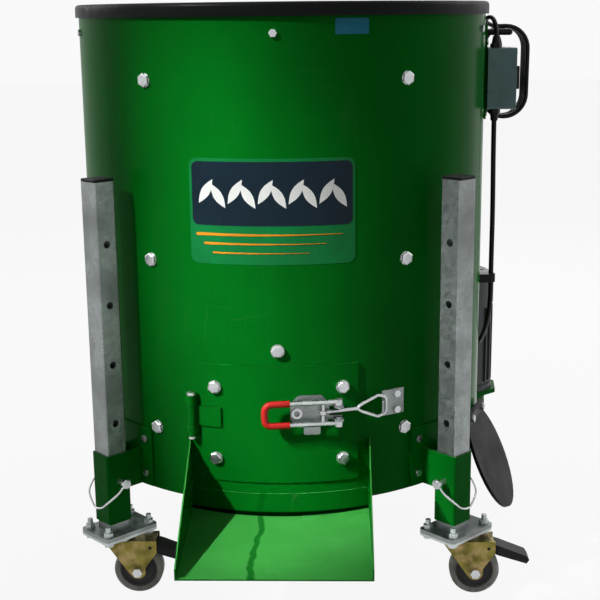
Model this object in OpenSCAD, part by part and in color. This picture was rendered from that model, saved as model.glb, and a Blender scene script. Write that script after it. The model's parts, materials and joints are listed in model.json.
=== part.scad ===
// Walnut huller: an upright drum with a spinning disc, on three height-adjustable legs with casters.
// Millimetres, +Z up, origin on the floor under the drum's axis, door facing -Y.

/* [Drum] */
// Outer diameter of the drum
drum_d = 636; // [600:2:680]
// Thickness of the rolled sheet
sheet = 2; // [1.5:0.5:3]
// Height of the drum's bottom edge above the floor
drum_bottom = 170; // [170:1:180]
// Height of the drum sheet
drum_h = 704; // [660:2:760]
// Thickness of the drum's floor
floor_t = 4; // [3:1:6]
// Height of the rubber rim trim
trim_h = 19; // [14:1:26]
// Width of the rubber rim trim
trim_w = 12; // [10:1:16]
// Rubber above the sheet's edge
trim_cap = 7; // [5:1:9]

/* [Bolts] */
// Thread of the large bolts
bolt_d = 10; // [8:1:12]
// Width across flats of the large bolts
bolt_af = 17; // [15:1:19]
// Head height of the large bolts
bolt_head = 6.4; // [5:0.2:8]
// Nut height of the large bolts
nut_h = 8; // [6:1:10]
// Thread of the small bolts
small_d = 6; // [5:1:8]
// Width across flats of the small bolts
small_af = 10; // [9:1:13]
// Head height of the small bolts
small_head = 4; // [3:0.5:5]
// Nut height of the small bolts
small_nut = 5; // [4:1:6]

/* [Liner bars] */
// Width of a liner bar
bar_w = 20; // [16:1:24]
// Thickness of a liner bar
bar_t = 8; // [6:1:12]
// Lowest bolt row above the drum's bottom edge
row_low = 99; // [85:1:115]
// Pitch of the bolt rows
row_pitch = 254; // [230:2:260]
// Bar beyond its outer bolts
bar_over = 34; // [24:1:36]

/* [Door] */
// Width of the door across its chord
door_w = 228; // [200:2:228]
// Height of the door
door_h = 176; // [160:2:190]
// Door's lower edge above the drum's bottom edge
door_up = 33; // [30:1:40]
// Thickness of the door's panel
door_t = 2; // [1.5:0.5:3]
// Overlap of the door on the drum
door_lap = 10; // [8:1:14]
// Distance of the door's bolts from its side edges
door_bolt_side = 23; // [20:1:28]
// Distance of the door's bolts from its upper and lower edges
door_bolt_edge = 34; // [28:1:38]
// Diameter of the hinge pin
hinge_pin_d = 8; // [6:1:8]
// Outer diameter of the hinge barrel
hinge_d = 14; // [12:1:14]
// Length of the hinge barrel with its lugs
hinge_h = 62; // [54:2:70]
// Hinge axis outside the drum's face
hinge_out = 9; // [8.5:0.5:11]
// Angle of the hinge axis past the door's edge
hinge_past = 1.8; // [1.8:0.1:2.4]

/* [Latch] */
// Height of the latch above the drum's bottom edge
latch_up = 142; // [130:1:150]
// Angle of the latch from the door's centre
latch_az = 8; // [7:0.5:9]
// Width of the latch's base plate
latch_w = 56; // [50:2:62]
// Height of the latch's base plate
latch_h = 48; // [44:2:52]
// Diameter of the lever's bent rod
lever_d = 7; // [6:0.5:8]
// Distance between the lever's two arms
lever_gap = 32; // [30:1:36]
// Length of the lever from its pivot to its grip's end
lever_len = 106; // [96:2:116]
// Thickness of the wire loop
wire_d = 5; // [4:0.5:5.5]
// Reach of the wire loop past the lever's pivot
loop_reach = 73; // [72:0.5:74]

/* [Chute] */
// Inner width of the chute
chute_w = 260; // [250:2:270]
// Chute's front edge ahead of the drum
chute_len = 182; // [150:2:210]
// Sheet of the chute
chute_t = 2; // [1.5:0.5:3]
// Depth of the chute's floor under the drum's edge, at the drum
chute_drop = 14; // [12:1:18]
// Fall of the floor from the drum to its front edge
chute_fall = 16; // [8:1:24]
// Height of the chute's back flange above the drum's edge
chute_lip = 16; // [10:1:24]
// Height of the cheeks at the drum
cheek_h = 106; // [90:2:110]
// Height of the cheeks at the front edge
cheek_front = 14; // [8:1:24]

/* [Legs] */
// Distance of the legs from the drum's axis to the drum's face
leg_out = 45; // [42:1:50]
// Width of a leg's square tube
leg_w = 35; // [30:1:36]
// Wall of a leg's tube
leg_wall = 2.5; // [2:0.5:3]
// Top of a leg above the floor
leg_top = 636; // [600:2:660]
// Wall of a leg's sleeve
sleeve_wall = 2; // [2:0.5:3]
// Play between a leg and its sleeve
sleeve_play = 0.5; // [0.3:0.1:0.8]
// Length of a leg's sleeve
sleeve_h = 108; // [98:2:118]
// Pitch of the height holes
hole_pitch = 90; // [80:2:92]
// Number of height steps
hole_steps = 4; // [3:1:4]
// Diameter of the height holes
hole_d = 11; // [10:0.5:12]
// Diameter of the lock pins
pin_d = 9.6; // [8:0.2:9.8]
// Wire of the lock pins
pin_wire = 3; // [2.5:0.5:4]
// Width of the plate between a sleeve and the drum
mount_w = 88; // [80:2:96]
// Height of that plate
mount_h = 90; // [80:2:100]
// Thickness of that plate
mount_t = 4; // [3:0.5:6]

/* [Casters] */
// Diameter of the wheels
wheel_d = 75; // [70:1:76]
// Width of the wheels
wheel_w = 25; // [20:1:27]
// Overall height of a caster
caster_h = 100; // [100:1:106]
// Length of the caster plates
plate_l = 95; // [90:1:100]
// Width of the caster plates
plate_b = 68; // [64:1:74]
// Thickness of the caster plates
plate_t = 4; // [3:0.5:5]
// Thickness of the foot plates
foot_t = 6; // [5:0.5:8]
// Bolt hole spacing along a caster plate
plate_hole_l = 74; // [70:1:76]
// Bolt hole spacing across a caster plate
plate_hole_b = 48; // [45:1:50]
// Thread of the caster bolts
plate_bolt_d = 8; // [6:1:8]
// Distance from the swivel axis to the wheel's axle
trail = 28; // [24:1:32]
// Thickness of the fork's sheet
fork_t = 2.5; // [2:0.5:3]
// Diameter of the axles
axle_d = 8; // [6:1:10]

/* [Drive] */
// Diameter of the spindle
spindle_d = 30; // [25:1:35]
// Gap between the disc's edge and the drum's wall
disc_gap = 6; // [4:1:10]
// Thickness of the disc
disc_t = 4; // [3:0.5:6]
// Height of the disc's ribs
rib_h = 10; // [6:1:12]
// Number of ribs on the disc
ribs = 6; // [4:1:8]
// Diameter of the driven pulley
pulley_d = 280; // [260:2:290]
// Diameter of the motor's pulley
motor_pulley_d = 70; // [66:1:80]
// Depth of the belt in its groove
belt_t = 8; // [7:0.5:9]
// Width of the belt
belt_w = 10; // [9:0.5:11]
// Direction of the motor, from the door round to the right
motor_az = 131; // [126:1:134]
// Distance of the motor's axis from the drum's axis
motor_r = 409; // [404:1:420]
// Diameter of the motor's body
motor_d = 132; // [120:2:136]
// Length of the motor's body
motor_h = 165; // [150:5:180]
// Height of the motor's fan cover
fan_h = 58; // [50:1:64]

/* [Switch] */
// Height of the switch box
box_h = 95; // [90:1:100]
// Width of the switch box
box_w = 76; // [70:1:76]
// Depth of the switch box
box_deep = 45; // [40:1:50]
// Wall of the switch box
box_wall = 3; // [2:0.5:4]
// Bottom of the switch box above the drum's bottom edge
box_up = 545; // [520:5:546]
// Diameter of the switch knob
knob_d = 42; // [36:1:46]
// Diameter of the power cord
cord_d = 7; // [6.5:0.5:7]
// Loops of the hung power cord
cord_loops = 5; // [3:1:6]
// Bend radius of the hung loops
loop_r = 36; // [34:1:38]
// Straight side of the hung loops
loop_side = 74; // [66:1:76]
// Diameter of the motor cable
cable_d = 8; // [7:0.5:9]

/* [Hidden] */
$fn = 96;

// Small clearances: a fixed seat, a running fit and a free gap
seat = 0.05;
fit = 0.1;
gap = 0.3;
over = 1;
elbow = 0.4;

R = drum_d / 2;
r_in = R - sheet;
drum_top = drum_bottom + drum_h;
bar_az = [-35, 35, 100, 155, 205, 260];
bar_room = drum_h + trim_cap - trim_h - gap - row_low - bar_over;
rows = [for (i = [0 : floor(bar_room / row_pitch)]) drum_bottom + row_low + i * row_pitch];
rim_az = [0, 72, 144, 216, 288];
rim_z = drum_top - 34;
bar_face = sqrt(pow(r_in - seat, 2) - pow(bar_w / 2, 2));
corners = [45, 135, 225, 315];

// Door and hinge
door_z = drum_bottom + door_up;
door_top = door_z + door_h;
door_r = R + gap;
door_out = door_r + door_t;
door_bolt_az = asin((door_w / 2 - door_bolt_side) / R);
door_bolt_z = [door_z + door_bolt_edge, door_top - door_bolt_edge];
centre_bolt_z = door_top + 22;
hole_half = door_w / 2 - door_lap;
liner_play = 1;
hinge_az = -asin(door_w / 2 / R) - hinge_past;
hinge_r = R + hinge_out;
cheek_top = drum_bottom - chute_drop + cheek_h;
hinge_z = cheek_top + 7;
knuckle = hinge_h / 2 - 1;

// Latch, in a frame turned to latch_az: x along the door, heights from the drum's face
latch_z = drum_bottom + latch_up;
latch_back = door_t + gap + seat;
latch_t = 3;
pivot_x = latch_w / 2 + 12;
pivot_out = latch_back + 13.5;
crank = 22;
loop_drop = 3;
loop_x = pivot_x - crank;
loop_out = pivot_out - loop_drop;
bar_x = pivot_x + loop_reach;
bar_out = -10;
loop_half = 16;
neck_x = pivot_x + 22;
grip_len = 36;
trunnion_d = 5;
pivot_pin_d = lever_d - 0.5;
boss_h = lever_d + 1;
keeper_az = 31;
keeper_t = 3;
keeper_w = 38;
keeper_h = 38;
keeper_bolt_x = 6;
keeper_z = [latch_z - 12, latch_z + 12];
lip_h = 19;

// Legs, in the order left, right and rear
left = 0;
right = 1;
rear = 2;
leg_az = [-45, 45, 180];
pin_side = [1, -1, -1];
plate_turn = [90, 0, 0];
plate_shift = [[0, 10], [10, 0], [0, 0]];
leg_r = R + leg_out;
sleeve_w = leg_w + 2 * (sleeve_play + sleeve_wall);
sleeve_bore = leg_w + 2 * sleeve_play;
leg_round = 3;
sleeve_round = 4;
foot_top = caster_h + foot_t;
sleeve_z = foot_top + 14;
pin_z = foot_top + 80;
mount_z = drum_bottom + 2;
mount_bolt_x = mount_w / 2 - 12;
mount_bolt_z = [mount_z + 20, mount_z + mount_h - 16];

// Outlet for the hulls, its rubber flap and the strip that clamps the flap
flap_az = 70;
outlet_w = 72;
outlet_h = 24;
outlet_z = drum_bottom + floor_t + 4;
flap_t = 5;
flap_out = 2;
flap_len = 156;
flap_r = 70;
flap_lean = 24;
flap_half = 0.56 * flap_len;
flap_top = asin((flap_len - flap_half) / flap_half);
flap_steps = 30;
clamp_w = 92;
clamp_h = 16;
clamp_t = 3;
clamp_x = [-32, 32];
clamp_out = flap_out + flap_t + seat;
clamp_z = drum_bottom + 70;

// Casters
swivel_d = 46;
swivel_top = caster_h - plate_t;
race_t = 8;
fork_top = swivel_top - race_t - gap;
fork_yoke = 4;
king_d = 10;
fork_in = wheel_w / 2 + 4.5;
axle_z = wheel_d / 2;
pedal_x = trail + 20;
pedal_z = fork_top - 11;
pedal_pin_d = 5;

// Drive
base_top = drum_bottom + floor_t;
housing_d = 80;
housing_flange = 8;
housing_h = 22;
housing_bolt_r = 52;
disc_r = r_in - disc_gap;
hub_z = base_top + housing_h + gap;
disc_z = hub_z + 9.7;
wiper_lift = 4;
rib_start = 70;
rib_short = 9;
rib_w = 8;
wiper_start = 140;
wiper_short = 5;
bracket_t = 8;
bracket_z = drum_bottom - bracket_t;
belt_z = bracket_z - 18;
pulley_face = belt_w + 6;
guard_wall = 2;
guard_z = belt_z - 22;
guard_room = 18;
belt_steps = 48;
motor_at = [motor_r * sin(motor_az), -motor_r * cos(motor_az)];
flange_t = 10;
fin = 4;
motor_bolt_r = motor_d / 2 - 23;
motor_bolt_in = 14;
motor_face_r = motor_d / 2 + fin;
motor_z = drum_bottom;
shaft_d = 19;
term_w = 64;
term_deep = 32;
term_h = 70;
term_z = motor_z + 92;

// Switch box, in a frame turned to face +X
box_z = drum_bottom + box_up;
box_top = box_z + box_h;
bracket_out = seat;
bracket_w = 3;
back_w = 48;
back_low = 16;
back_high = 36;
peg_x = 16;
box_out = bracket_out + bracket_w;
box_split = box_out + box_deep / 2;
foot_z = [box_z - 8, box_top + 8];
gland_x = -26;
gland_out = 16;
gland_d = 14;
gland_h = 18;

// Hung cord: loops in a plane across the box's rear face, carried by a peg
coil_pitch = cord_d + 0.8;
coil_taper = 0.1;
coil_x = R + box_out + 39;
coil_y = box_w / 2 + cord_d / 2 + 12.5;
coil_top = box_top + 32;
coil_z = coil_top - loop_r - loop_side / 2;
lap = 2 * PI * loop_r + 2 * loop_side;
coil_len = (cord_loops - 0.25) * lap + loop_side / 2 - 10 - cord_d;
peg_d = 10;
peg_foot = 4;
peg_z = coil_top - cord_d / 2 - gap - peg_d / 2;
gland_at = [R + gland_out, gland_x];

// Routes of the free cord ends and of the motor cable, chosen by hand
lead_route = [
    [334, -26, 828], [334, -26, 829.5], [334, -26, 831], [333.5, -22.5, 843], [331, -12.5, 852.5],
    [328, 0.5, 856.5], [324.5, 14.5, 855], [323.5, 28.5, 851.5], [328, 41, 847], [337, 50, 843.5],
    [346, 54, 842]
];
cable_route = [
    [334, -26, 697], [334, -26, 693], [334, -26, 689], [334.5, -25, 640], [336, -20, 580], [337, -15, 530],
    [337, -14, 480], [337, -14, 440], [337, -13, 405], [335.5, 2, 365], [332, 32, 330], [328, 72, 306],
    [325, 112, 297], [325, 138, 297], [325, 150, 297]
];
tail_up = 7;
tail_r = 29;
tail_turn = [0.6, 0.8, 0];
tail_down = 10;
clip_z = 440;
plug_d = 38;
plug_h = 42;
relief_h = 26;

// Placing and bolts

// Turns a piece made at the front, facing -Y, to an angle round the drum
module around(az) {
    rotate([0, 0, az]) children();
}

// Cylinder along -Y from y
module out_cyl(y, h, d) {
    translate([0, y, 0]) rotate([90, 0, 0]) cylinder(h = h, d = d);
}

// Hexagon along -Y from y
module out_hex(y, h, af) {
    translate([0, y, 0]) rotate([90, 0, 0]) cylinder(h = h, d = af / cos(30), $fn = 6);
}

// Bolt through a wall: head outside the face at -face, nut inside after its grip
module wall_bolt(face, d, af, head, grip, nut) {
    out_hex(-face, head, af);
    out_cyl(-face + grip + nut + d / 5, grip + nut + d / 5 + head / 2, d);
    out_hex(-face + grip + nut, nut, af);
}

// Hole for such a bolt
module bolt_hole(d) {
    out_cyl(-R / 2, R, d + 2 * fit);
}

// Screw standing on +Z: head below z, shank above
module up_screw(z, d, af, head, len) {
    translate([0, 0, z - head]) cylinder(h = head, d = af / cos(30), $fn = 6);
    translate([0, 0, z - head / 2]) cylinder(h = head / 2 + len, d = d);
}

// Such a screw through a grip, with its nut above
module up_bolt(z, d, af, head, grip, nut, tail) {
    up_screw(z, d, af, head, grip + nut + tail);
    translate([0, 0, z + grip]) cylinder(h = nut, d = af / cos(30), $fn = 6);
}

// Round rod between two points
module rod(a, b, d) {
    v = b - a;
    translate(a)
        rotate([0, acos(v.z / norm(v)), atan2(v.y, v.x)])
            cylinder(h = norm(v), d = d);
}

// Rods along a list of points, with round elbows
module bent_rod(p, d) {
    for (i = [0 : len(p) - 2]) rod(p[i], p[i + 1], d);
    for (i = [1 : len(p) - 2]) translate(p[i]) sphere(d = d + elbow);
}

// Plate with round corners, its lower face on z = 0
module round_plate(w, h, t, r) {
    linear_extrude(t) {
        square([w - 2 * r, h], center = true);
        square([w, h - 2 * r], center = true);
        for (x = [-1, 1], y = [-1, 1]) translate([x * (w / 2 - r), y * (h / 2 - r)]) circle(r);
    }
}

// Ring of wall from radius a to radius b, limited to a width and a height
module shell_patch(a, b, w, z, h) {
    intersection() {
        difference() {
            translate([0, 0, z]) cylinder(r = b, h = h, $fn = 180);
            translate([0, 0, z - over]) cylinder(r = a, h = h + 2 * over, $fn = 180);
        }
        translate([-w / 2, -b - over, z - over]) cube([w, b, h + 2 * over]);
    }
}

// Tubes along a path

function unit(v) = v / norm(v);

// Direction of a path at each point
function headings(p) = [
    for (i = [0 : len(p) - 1]) unit(p[min(i + 1, len(p) - 1)] - p[max(i - 1, 0)])
];

// A side direction carried along the path without twist
function carried(t, n, i = 0) =
    i == len(t) ? [] :
    let (m = unit(n - (n * t[i]) * t[i])) concat([m], carried(t, m, i + 1));

// One smooth curve through hand-chosen points
function blend(a, b, c, d, u) =
    0.5 * (2 * b + (c - a) * u + (2 * a - 5 * b + 4 * c - d) * u * u + (3 * b - a - 3 * c + d) * u * u * u);
function smooth(p, steps) = concat(
    [for (i = [0 : len(p) - 2], k = [0 : steps - 1])
        blend(p[max(i - 1, 0)], p[i], p[i + 1], p[min(i + 2, len(p) - 1)], k / steps)],
    [p[len(p) - 1]]
);

// Closed tube of triangles along a path
module tube(p, d, sides) {
    t = headings(p);
    n = carried(t, abs(t[0].z) > 0.9 ? [1, 0, 0] : [0, 0, 1]);
    points = [
        for (i = [0 : len(p) - 1], k = [0 : sides - 1])
            let (a = 360 * k / sides, s = cross(t[i], n[i]))
                p[i] + d / 2 * (cos(a) * n[i] + sin(a) * s)
    ];
    last = (len(p) - 1) * sides;
    walls = [
        for (i = [0 : len(p) - 2], k = [0 : sides - 1], half = [0, 1])
            let (a = i * sides + k, b = i * sides + (k + 1) % sides)
                half == 0 ? [a, a + sides, b] : [b, a + sides, b + sides]
    ];
    caps = [
        for (k = [1 : sides - 2], end = [0, 1])
            end == 0 ? [0, k, k + 1] : [last, last + k + 1, last + k]
    ];
    polyhedron(points, concat(walls, caps));
}

// Place on one loop after a run s, from the middle of its top and clockwise seen from the door's side
function on_loop(s) =
    let (q = PI * loop_r / 2, k = s / loop_r * 180 / PI)
    s < q ? [loop_r * sin(k), loop_side / 2 + loop_r * cos(k)] :
    s < q + loop_side ? [loop_r, loop_side / 2 + q - s] :
    s < 3 * q + loop_side ?
        let (m = (s - q - loop_side) / loop_r * 180 / PI)
            [loop_r * cos(m), -loop_side / 2 - loop_r * sin(m)] :
    s < 3 * q + 2 * loop_side ? [-loop_r, -loop_side / 2 + s - 3 * q - loop_side] :
    let (m = (s - 3 * q - 2 * loop_side) / loop_r * 180 / PI)
        [-loop_r * cos(m), loop_side / 2 + loop_r * sin(m)];

// Place on the hung cord after a run s
function on_coil(s) =
    let (f = on_loop(s - lap * floor(s / lap)))
        [coil_x + f.x * (1 - coil_taper * s / coil_len), coil_y + coil_pitch * s / lap, coil_z + f.y];

coil_rings = 24 * cord_loops;
coil_path = concat(
    [[coil_x - cord_d, coil_y, coil_top]],
    [for (i = [0 : coil_rings]) on_coil(coil_len * i / coil_rings)],
    [on_coil(coil_len) + [0, 0, cord_d]]
);
coil_end = coil_path[len(coil_path) - 1];
coil_gap = min([
    for (i = [0 : len(coil_path) - 1], j = [i + 6 : 1 : len(coil_path) - 1])
        norm(coil_path[i] - coil_path[j]) - cord_d
]);
echo(least_gap_of_the_hung_cord = coil_gap);

// The cord's tail rises from the coil, turns over and hangs to its plug
tail_start = coil_end + [0, 0, tail_up];
tail_route = concat(
    [coil_end],
    [for (a = [0 : 15 : 180]) tail_start + tail_r * ((1 - cos(a)) * tail_turn + [0, 0, sin(a)])],
    [tail_start + 2 * tail_r * tail_turn - [0, 0, tail_down]]
);
plug_at = tail_route[len(tail_route) - 1];

// Drum

module drum_shell() {
    color("darkgreen")
    difference() {
        translate([0, 0, drum_bottom]) cylinder(r = R, h = drum_h, $fn = 180);
        translate([0, 0, drum_bottom - over]) cylinder(r = r_in, h = drum_h + 2 * over, $fn = 180);
        translate([-hole_half, -R - over, door_z + door_lap])
            cube([2 * hole_half, R / 2, door_h - 2 * door_lap]);
        around(flap_az) translate([-outlet_w / 2, -R - over, outlet_z]) cube([outlet_w, R / 2, outlet_h]);
        for (az = bar_az, z = rows) around(az) translate([0, 0, z]) bolt_hole(bolt_d);
        translate([0, 0, centre_bolt_z]) bolt_hole(bolt_d);
        for (az = rim_az) around(az) translate([0, 0, rim_z]) bolt_hole(small_d);
        for (leg = [left, right, rear], x = [-1, 1], z = mount_bolt_z)
            around(leg_az[leg]) translate([x * mount_bolt_x, 0, z]) bolt_hole(small_d);
        for (x = clamp_x) around(flap_az) translate([x, 0, clamp_z]) bolt_hole(small_d);
        for (z = keeper_z) around(keeper_az) translate([keeper_bolt_x, 0, z]) bolt_hole(small_d);
        for (z = foot_z) around(90) translate([0, 0, z]) bolt_hole(small_d);
    }
}

module base_plate() {
    color("darkgreen")
    translate([0, 0, drum_bottom])
    difference() {
        cylinder(r = r_in - seat, h = floor_t, $fn = 180);
        translate([0, 0, -over]) cylinder(d = spindle_d + 20, h = floor_t + 2 * over);
        for (a = corners)
            rotate([0, 0, a]) translate([housing_bolt_r, 0, -over])
                cylinder(d = bolt_d + 2 * fit, h = floor_t + 2 * over);
    }
}

module rim_trim() {
    z = drum_top + trim_cap - trim_h;
    mid = R - sheet / 2;
    color("black")
    rotate_extrude($fn = 180)
    difference() {
        union() {
            translate([mid - trim_w / 2, z]) square([trim_w, trim_h - trim_w / 2]);
            translate([mid, z + trim_h - trim_w / 2]) circle(d = trim_w, $fn = 48);
        }
        translate([r_in - seat, z - over]) square([sheet + 2 * seat, drum_top - z + over]);
    }
}

module liner_bars() {
    color("gray")
    for (az = bar_az)
        around(az)
        difference() {
            translate([-bar_w / 2, -bar_face, rows[0] - bar_over])
                cube([bar_w, bar_t, rows[len(rows) - 1] - rows[0] + 2 * bar_over]);
            for (z = rows) translate([0, 0, z]) bolt_hole(bolt_d);
        }
}

module liner_bolts() {
    color("silver") {
        for (az = bar_az, z = rows)
            around(az) translate([0, 0, z])
                wall_bolt(R, bolt_d, bolt_af, bolt_head, R - bar_face + bar_t + seat, nut_h);
        translate([0, 0, centre_bolt_z])
            wall_bolt(R, bolt_d, bolt_af, bolt_head, nut_seat(bolt_af), nut_h);
    }
}

// Depth from the outer face to a flat nut of width af against the curved inner wall
function nut_seat(af) = R - sqrt(pow(r_in, 2) - pow(af / cos(30) / 2, 2)) + seat;

// Small fixed fasteners

module frame_fasteners() {
    color("silver") {
        for (az = rim_az)
            around(az) translate([0, 0, rim_z])
                wall_bolt(R, small_d, small_af, small_head, nut_seat(small_af), small_nut);
        for (leg = [left, right, rear], x = [-1, 1], z = mount_bolt_z)
            around(leg_az[leg]) translate([x * mount_bolt_x, 0, z])
                side_bolt(mount_bolt_x, R + seat + mount_t);
        around(flap_az)
            for (x = clamp_x) translate([x, 0, clamp_z])
                side_bolt(abs(x), R + clamp_out + clamp_t, true);
        around(keeper_az)
            for (z = keeper_z) translate([keeper_bolt_x, 0, z])
                side_bolt(keeper_bolt_x, R + seat + keeper_t);
        around(90)
            for (z = foot_z) translate([0, 0, z]) side_bolt(0, R + bracket_out + bracket_w);
        for (a = corners)
            rotate([0, 0, a]) translate([housing_bolt_r, 0, 0])
                up_bolt(drum_bottom - seat, bolt_d, bolt_af, bolt_head,
                        floor_t + housing_flange + 2 * seat, nut_h, bolt_d / 5);
        for (a = corners)
            translate(motor_at) rotate([0, 0, a]) translate([motor_bolt_r, 0, 0])
                up_screw(bracket_z - seat, small_d, small_af, small_head,
                         bracket_t + seat + motor_bolt_in);
    }
}

// Small bolt beside the middle of a piece: x off the middle, its head on a round or a flat face at r
module side_bolt(x, r, flat = false) {
    head_y = (flat ? r : sqrt(pow(r, 2) - pow(max(0, x - small_af / sqrt(3)), 2))) + seat;
    nut_y = sqrt(pow(r_in, 2) - pow(x + small_af / sqrt(3), 2)) - seat;
    wall_bolt(head_y, small_d, small_af, small_head, head_y - nut_y, small_nut);
}

// Chute

module chute() {
    y0 = -sqrt(pow(R, 2) - pow(chute_w / 2, 2)) - seat;
    y1 = -R - chute_len;
    z0 = drum_bottom - chute_drop;
    z1 = z0 - chute_fall;
    color("forestgreen") {
        translate([-chute_w / 2, 0, 0]) rotate([90, 0, 90])
            linear_extrude(chute_w)
                polygon([[y0, z0], [y0, z0 - chute_t], [y1, z1 - chute_t], [y1, z1]]);
        for (side = [0, 1])
            translate([side == 0 ? -chute_w / 2 - chute_t : chute_w / 2, 0, 0]) rotate([90, 0, 90])
                linear_extrude(chute_t)
                    polygon([
                        [y0, z0 - chute_t], [y1, z1 - chute_t], [y1, z1 + cheek_front], [y0, z0 + cheek_h]
                    ]);
        intersection() {
            shell_patch(R + seat, R + seat + chute_t, chute_w + chute_t, z1, drum_bottom + chute_lip - z1);
            translate([-R, 0, 0]) rotate([90, 0, 90])
                linear_extrude(2 * R)
                    polygon([
                        [y0, z0 - chute_t / 2], [y1, z1 - chute_t / 2], [y1, drum_top], [y0, drum_top]
                    ]);
        }
    }
}

// Outlet for the hulls with its hanging rubber flap

module clamp_strip() {
    difference() {
        translate([-clamp_w / 2, -R - clamp_out - clamp_t, clamp_z - clamp_h / 2])
            cube([clamp_w, clamp_t, clamp_h]);
        for (x = clamp_x) translate([x, 0, clamp_z]) bolt_hole(small_d);
    }
}

module hull_flap() {
    top = clamp_z + clamp_h / 2;
    low = clamp_z - clamp_h / 2;
    color("dimgray")
    around(flap_az)
    difference() {
        union() {
            translate([-clamp_w / 2, -R - flap_out - flap_t, low]) cube([clamp_w, flap_t, top - low]);
            translate([0, -R - flap_out, low]) rotate([90 - flap_lean, 0, 0])
                linear_extrude(flap_t)
                    polygon([
                        for (i = [0 : flap_steps])
                            let (a = 180 - flap_top + i * (180 + 2 * flap_top) / flap_steps)
                                [flap_r * cos(a), flap_half * (1 + sin(a)) - flap_len]
                    ]);
        }
        for (x = clamp_x) translate([x, 0, clamp_z]) bolt_hole(small_d);
    }
    color("dimgray") around(flap_az) clamp_strip();
}

// Sleeves that hold the legs

module leg_sleeves() {
    color("green")
    for (leg = [left, right, rear]) around(leg_az[leg]) leg_sleeve(pin_side[leg]);
}

module leg_sleeve(side) {
    rib_t = 4;
    rib_in = sleeve_round + 2;
    inner = leg_r - sleeve_w / 2;
    difference() {
        union() {
            translate([0, -leg_r, sleeve_z]) round_plate(sleeve_w, sleeve_w, sleeve_h, sleeve_round);
            for (x = [-1, 1])
                translate([x * (sleeve_w / 2 - rib_t / 2) - rib_t / 2, -inner - rib_in, mount_z])
                    cube([rib_t, inner + rib_in - R - mount_t / 2, sleeve_z + sleeve_h - mount_z]);
            shell_patch(R + seat, R + seat + mount_t, mount_w, mount_z, mount_h);
        }
        translate([0, -leg_r, sleeve_z - over])
            round_plate(sleeve_bore, sleeve_bore, sleeve_h + 2 * over, sleeve_round - sleeve_wall);
        translate([0, -leg_r, pin_z]) rotate([0, side * 90, 0])
            cylinder(d = pin_d + 2 * fit, h = sleeve_w);
        for (x = [-1, 1], z = mount_bolt_z)
            translate([x * mount_bolt_x, 0, z]) bolt_hole(small_d);
    }
}

// Legs

module leg_tube(leg) {
    color("lightgray")
    around(leg_az[leg]) translate([0, -leg_r, 0])
    difference() {
        union() {
            translate([0, 0, foot_top - over])
                round_plate(leg_w, leg_w, leg_top - foot_top + over, leg_round);
            translate(plate_shift[leg]) translate([0, 0, caster_h]) rotate([0, 0, plate_turn[leg]])
                round_plate(plate_l, plate_b, foot_t, 6);
        }
        translate([-leg_w / 2 + leg_wall, -leg_w / 2 + leg_wall, foot_top])
            cube([leg_w - 2 * leg_wall, leg_w - 2 * leg_wall, leg_top]);
        for (i = [0 : hole_steps])
            translate([0, 0, pin_z + i * hole_pitch]) rotate([0, 90, 0])
                cylinder(d = hole_d, h = 2 * leg_w, center = true);
        plate_bolts(leg) translate([0, 0, caster_h - over])
            cylinder(d = plate_bolt_d + 2 * fit, h = foot_t + 2 * over);
    }
}

// Children at the four bolt places of a caster plate
module plate_bolts(leg) {
    translate(plate_shift[leg]) rotate([0, 0, plate_turn[leg]])
        for (x = [-1, 1], y = [-1, 1])
            translate([x * plate_hole_l / 2, y * plate_hole_b / 2, 0]) children();
}

module leg_cap(leg) {
    plug = leg_w - 2 * leg_wall - 2 * fit;
    cap_t = 4;
    color("black")
    around(leg_az[leg]) translate([0, -leg_r, 0]) {
        translate([0, 0, leg_top]) round_plate(leg_w, leg_w, cap_t, leg_round);
        translate([-plug / 2, -plug / 2, leg_top - 14]) cube([plug, plug, 15]);
    }
}

module lock_pin(leg) {
    side = pin_side[leg];
    nose = sleeve_bore / 2;
    head = sleeve_w / 2 + 14;
    y = sleeve_w / 2 + 7;
    wire_route = [
        [head + 3, 0, 0], [head + 3, -6, -4], [head, -14, -14], [head - 9, -y, -27], [head - 20, -y - 3, -36],
        [0, -y - 4, -39], [-12, -y - 2, -34], [-sleeve_w / 2 - 2, -y, -20], [-sleeve_w / 2 - 6, -16, -6],
        [-sleeve_w / 2 - 6, -4, 2], [-sleeve_w / 2 - 6, 6, 6]
    ];
    color("gainsboro")
    around(leg_az[leg]) translate([0, -leg_r, pin_z]) mirror([side < 0 ? 1 : 0, 0, 0]) {
        translate([nose, 0, 0]) rotate([0, 90, 0]) cylinder(d = pin_d, h = head - nose + over);
        translate([head, 0, 0]) rotate([0, 90, 0]) cylinder(d = pin_d + 5, h = 6);
        tube(smooth(wire_route, 2), pin_wire, 6);
    }
}

// Casters

function caster_at(leg) =
    let (a = leg_az[leg], s = plate_shift[leg] - [0, leg_r])
        [s.x * cos(a) - s.y * sin(a), s.x * sin(a) + s.y * cos(a), 0];

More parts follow.
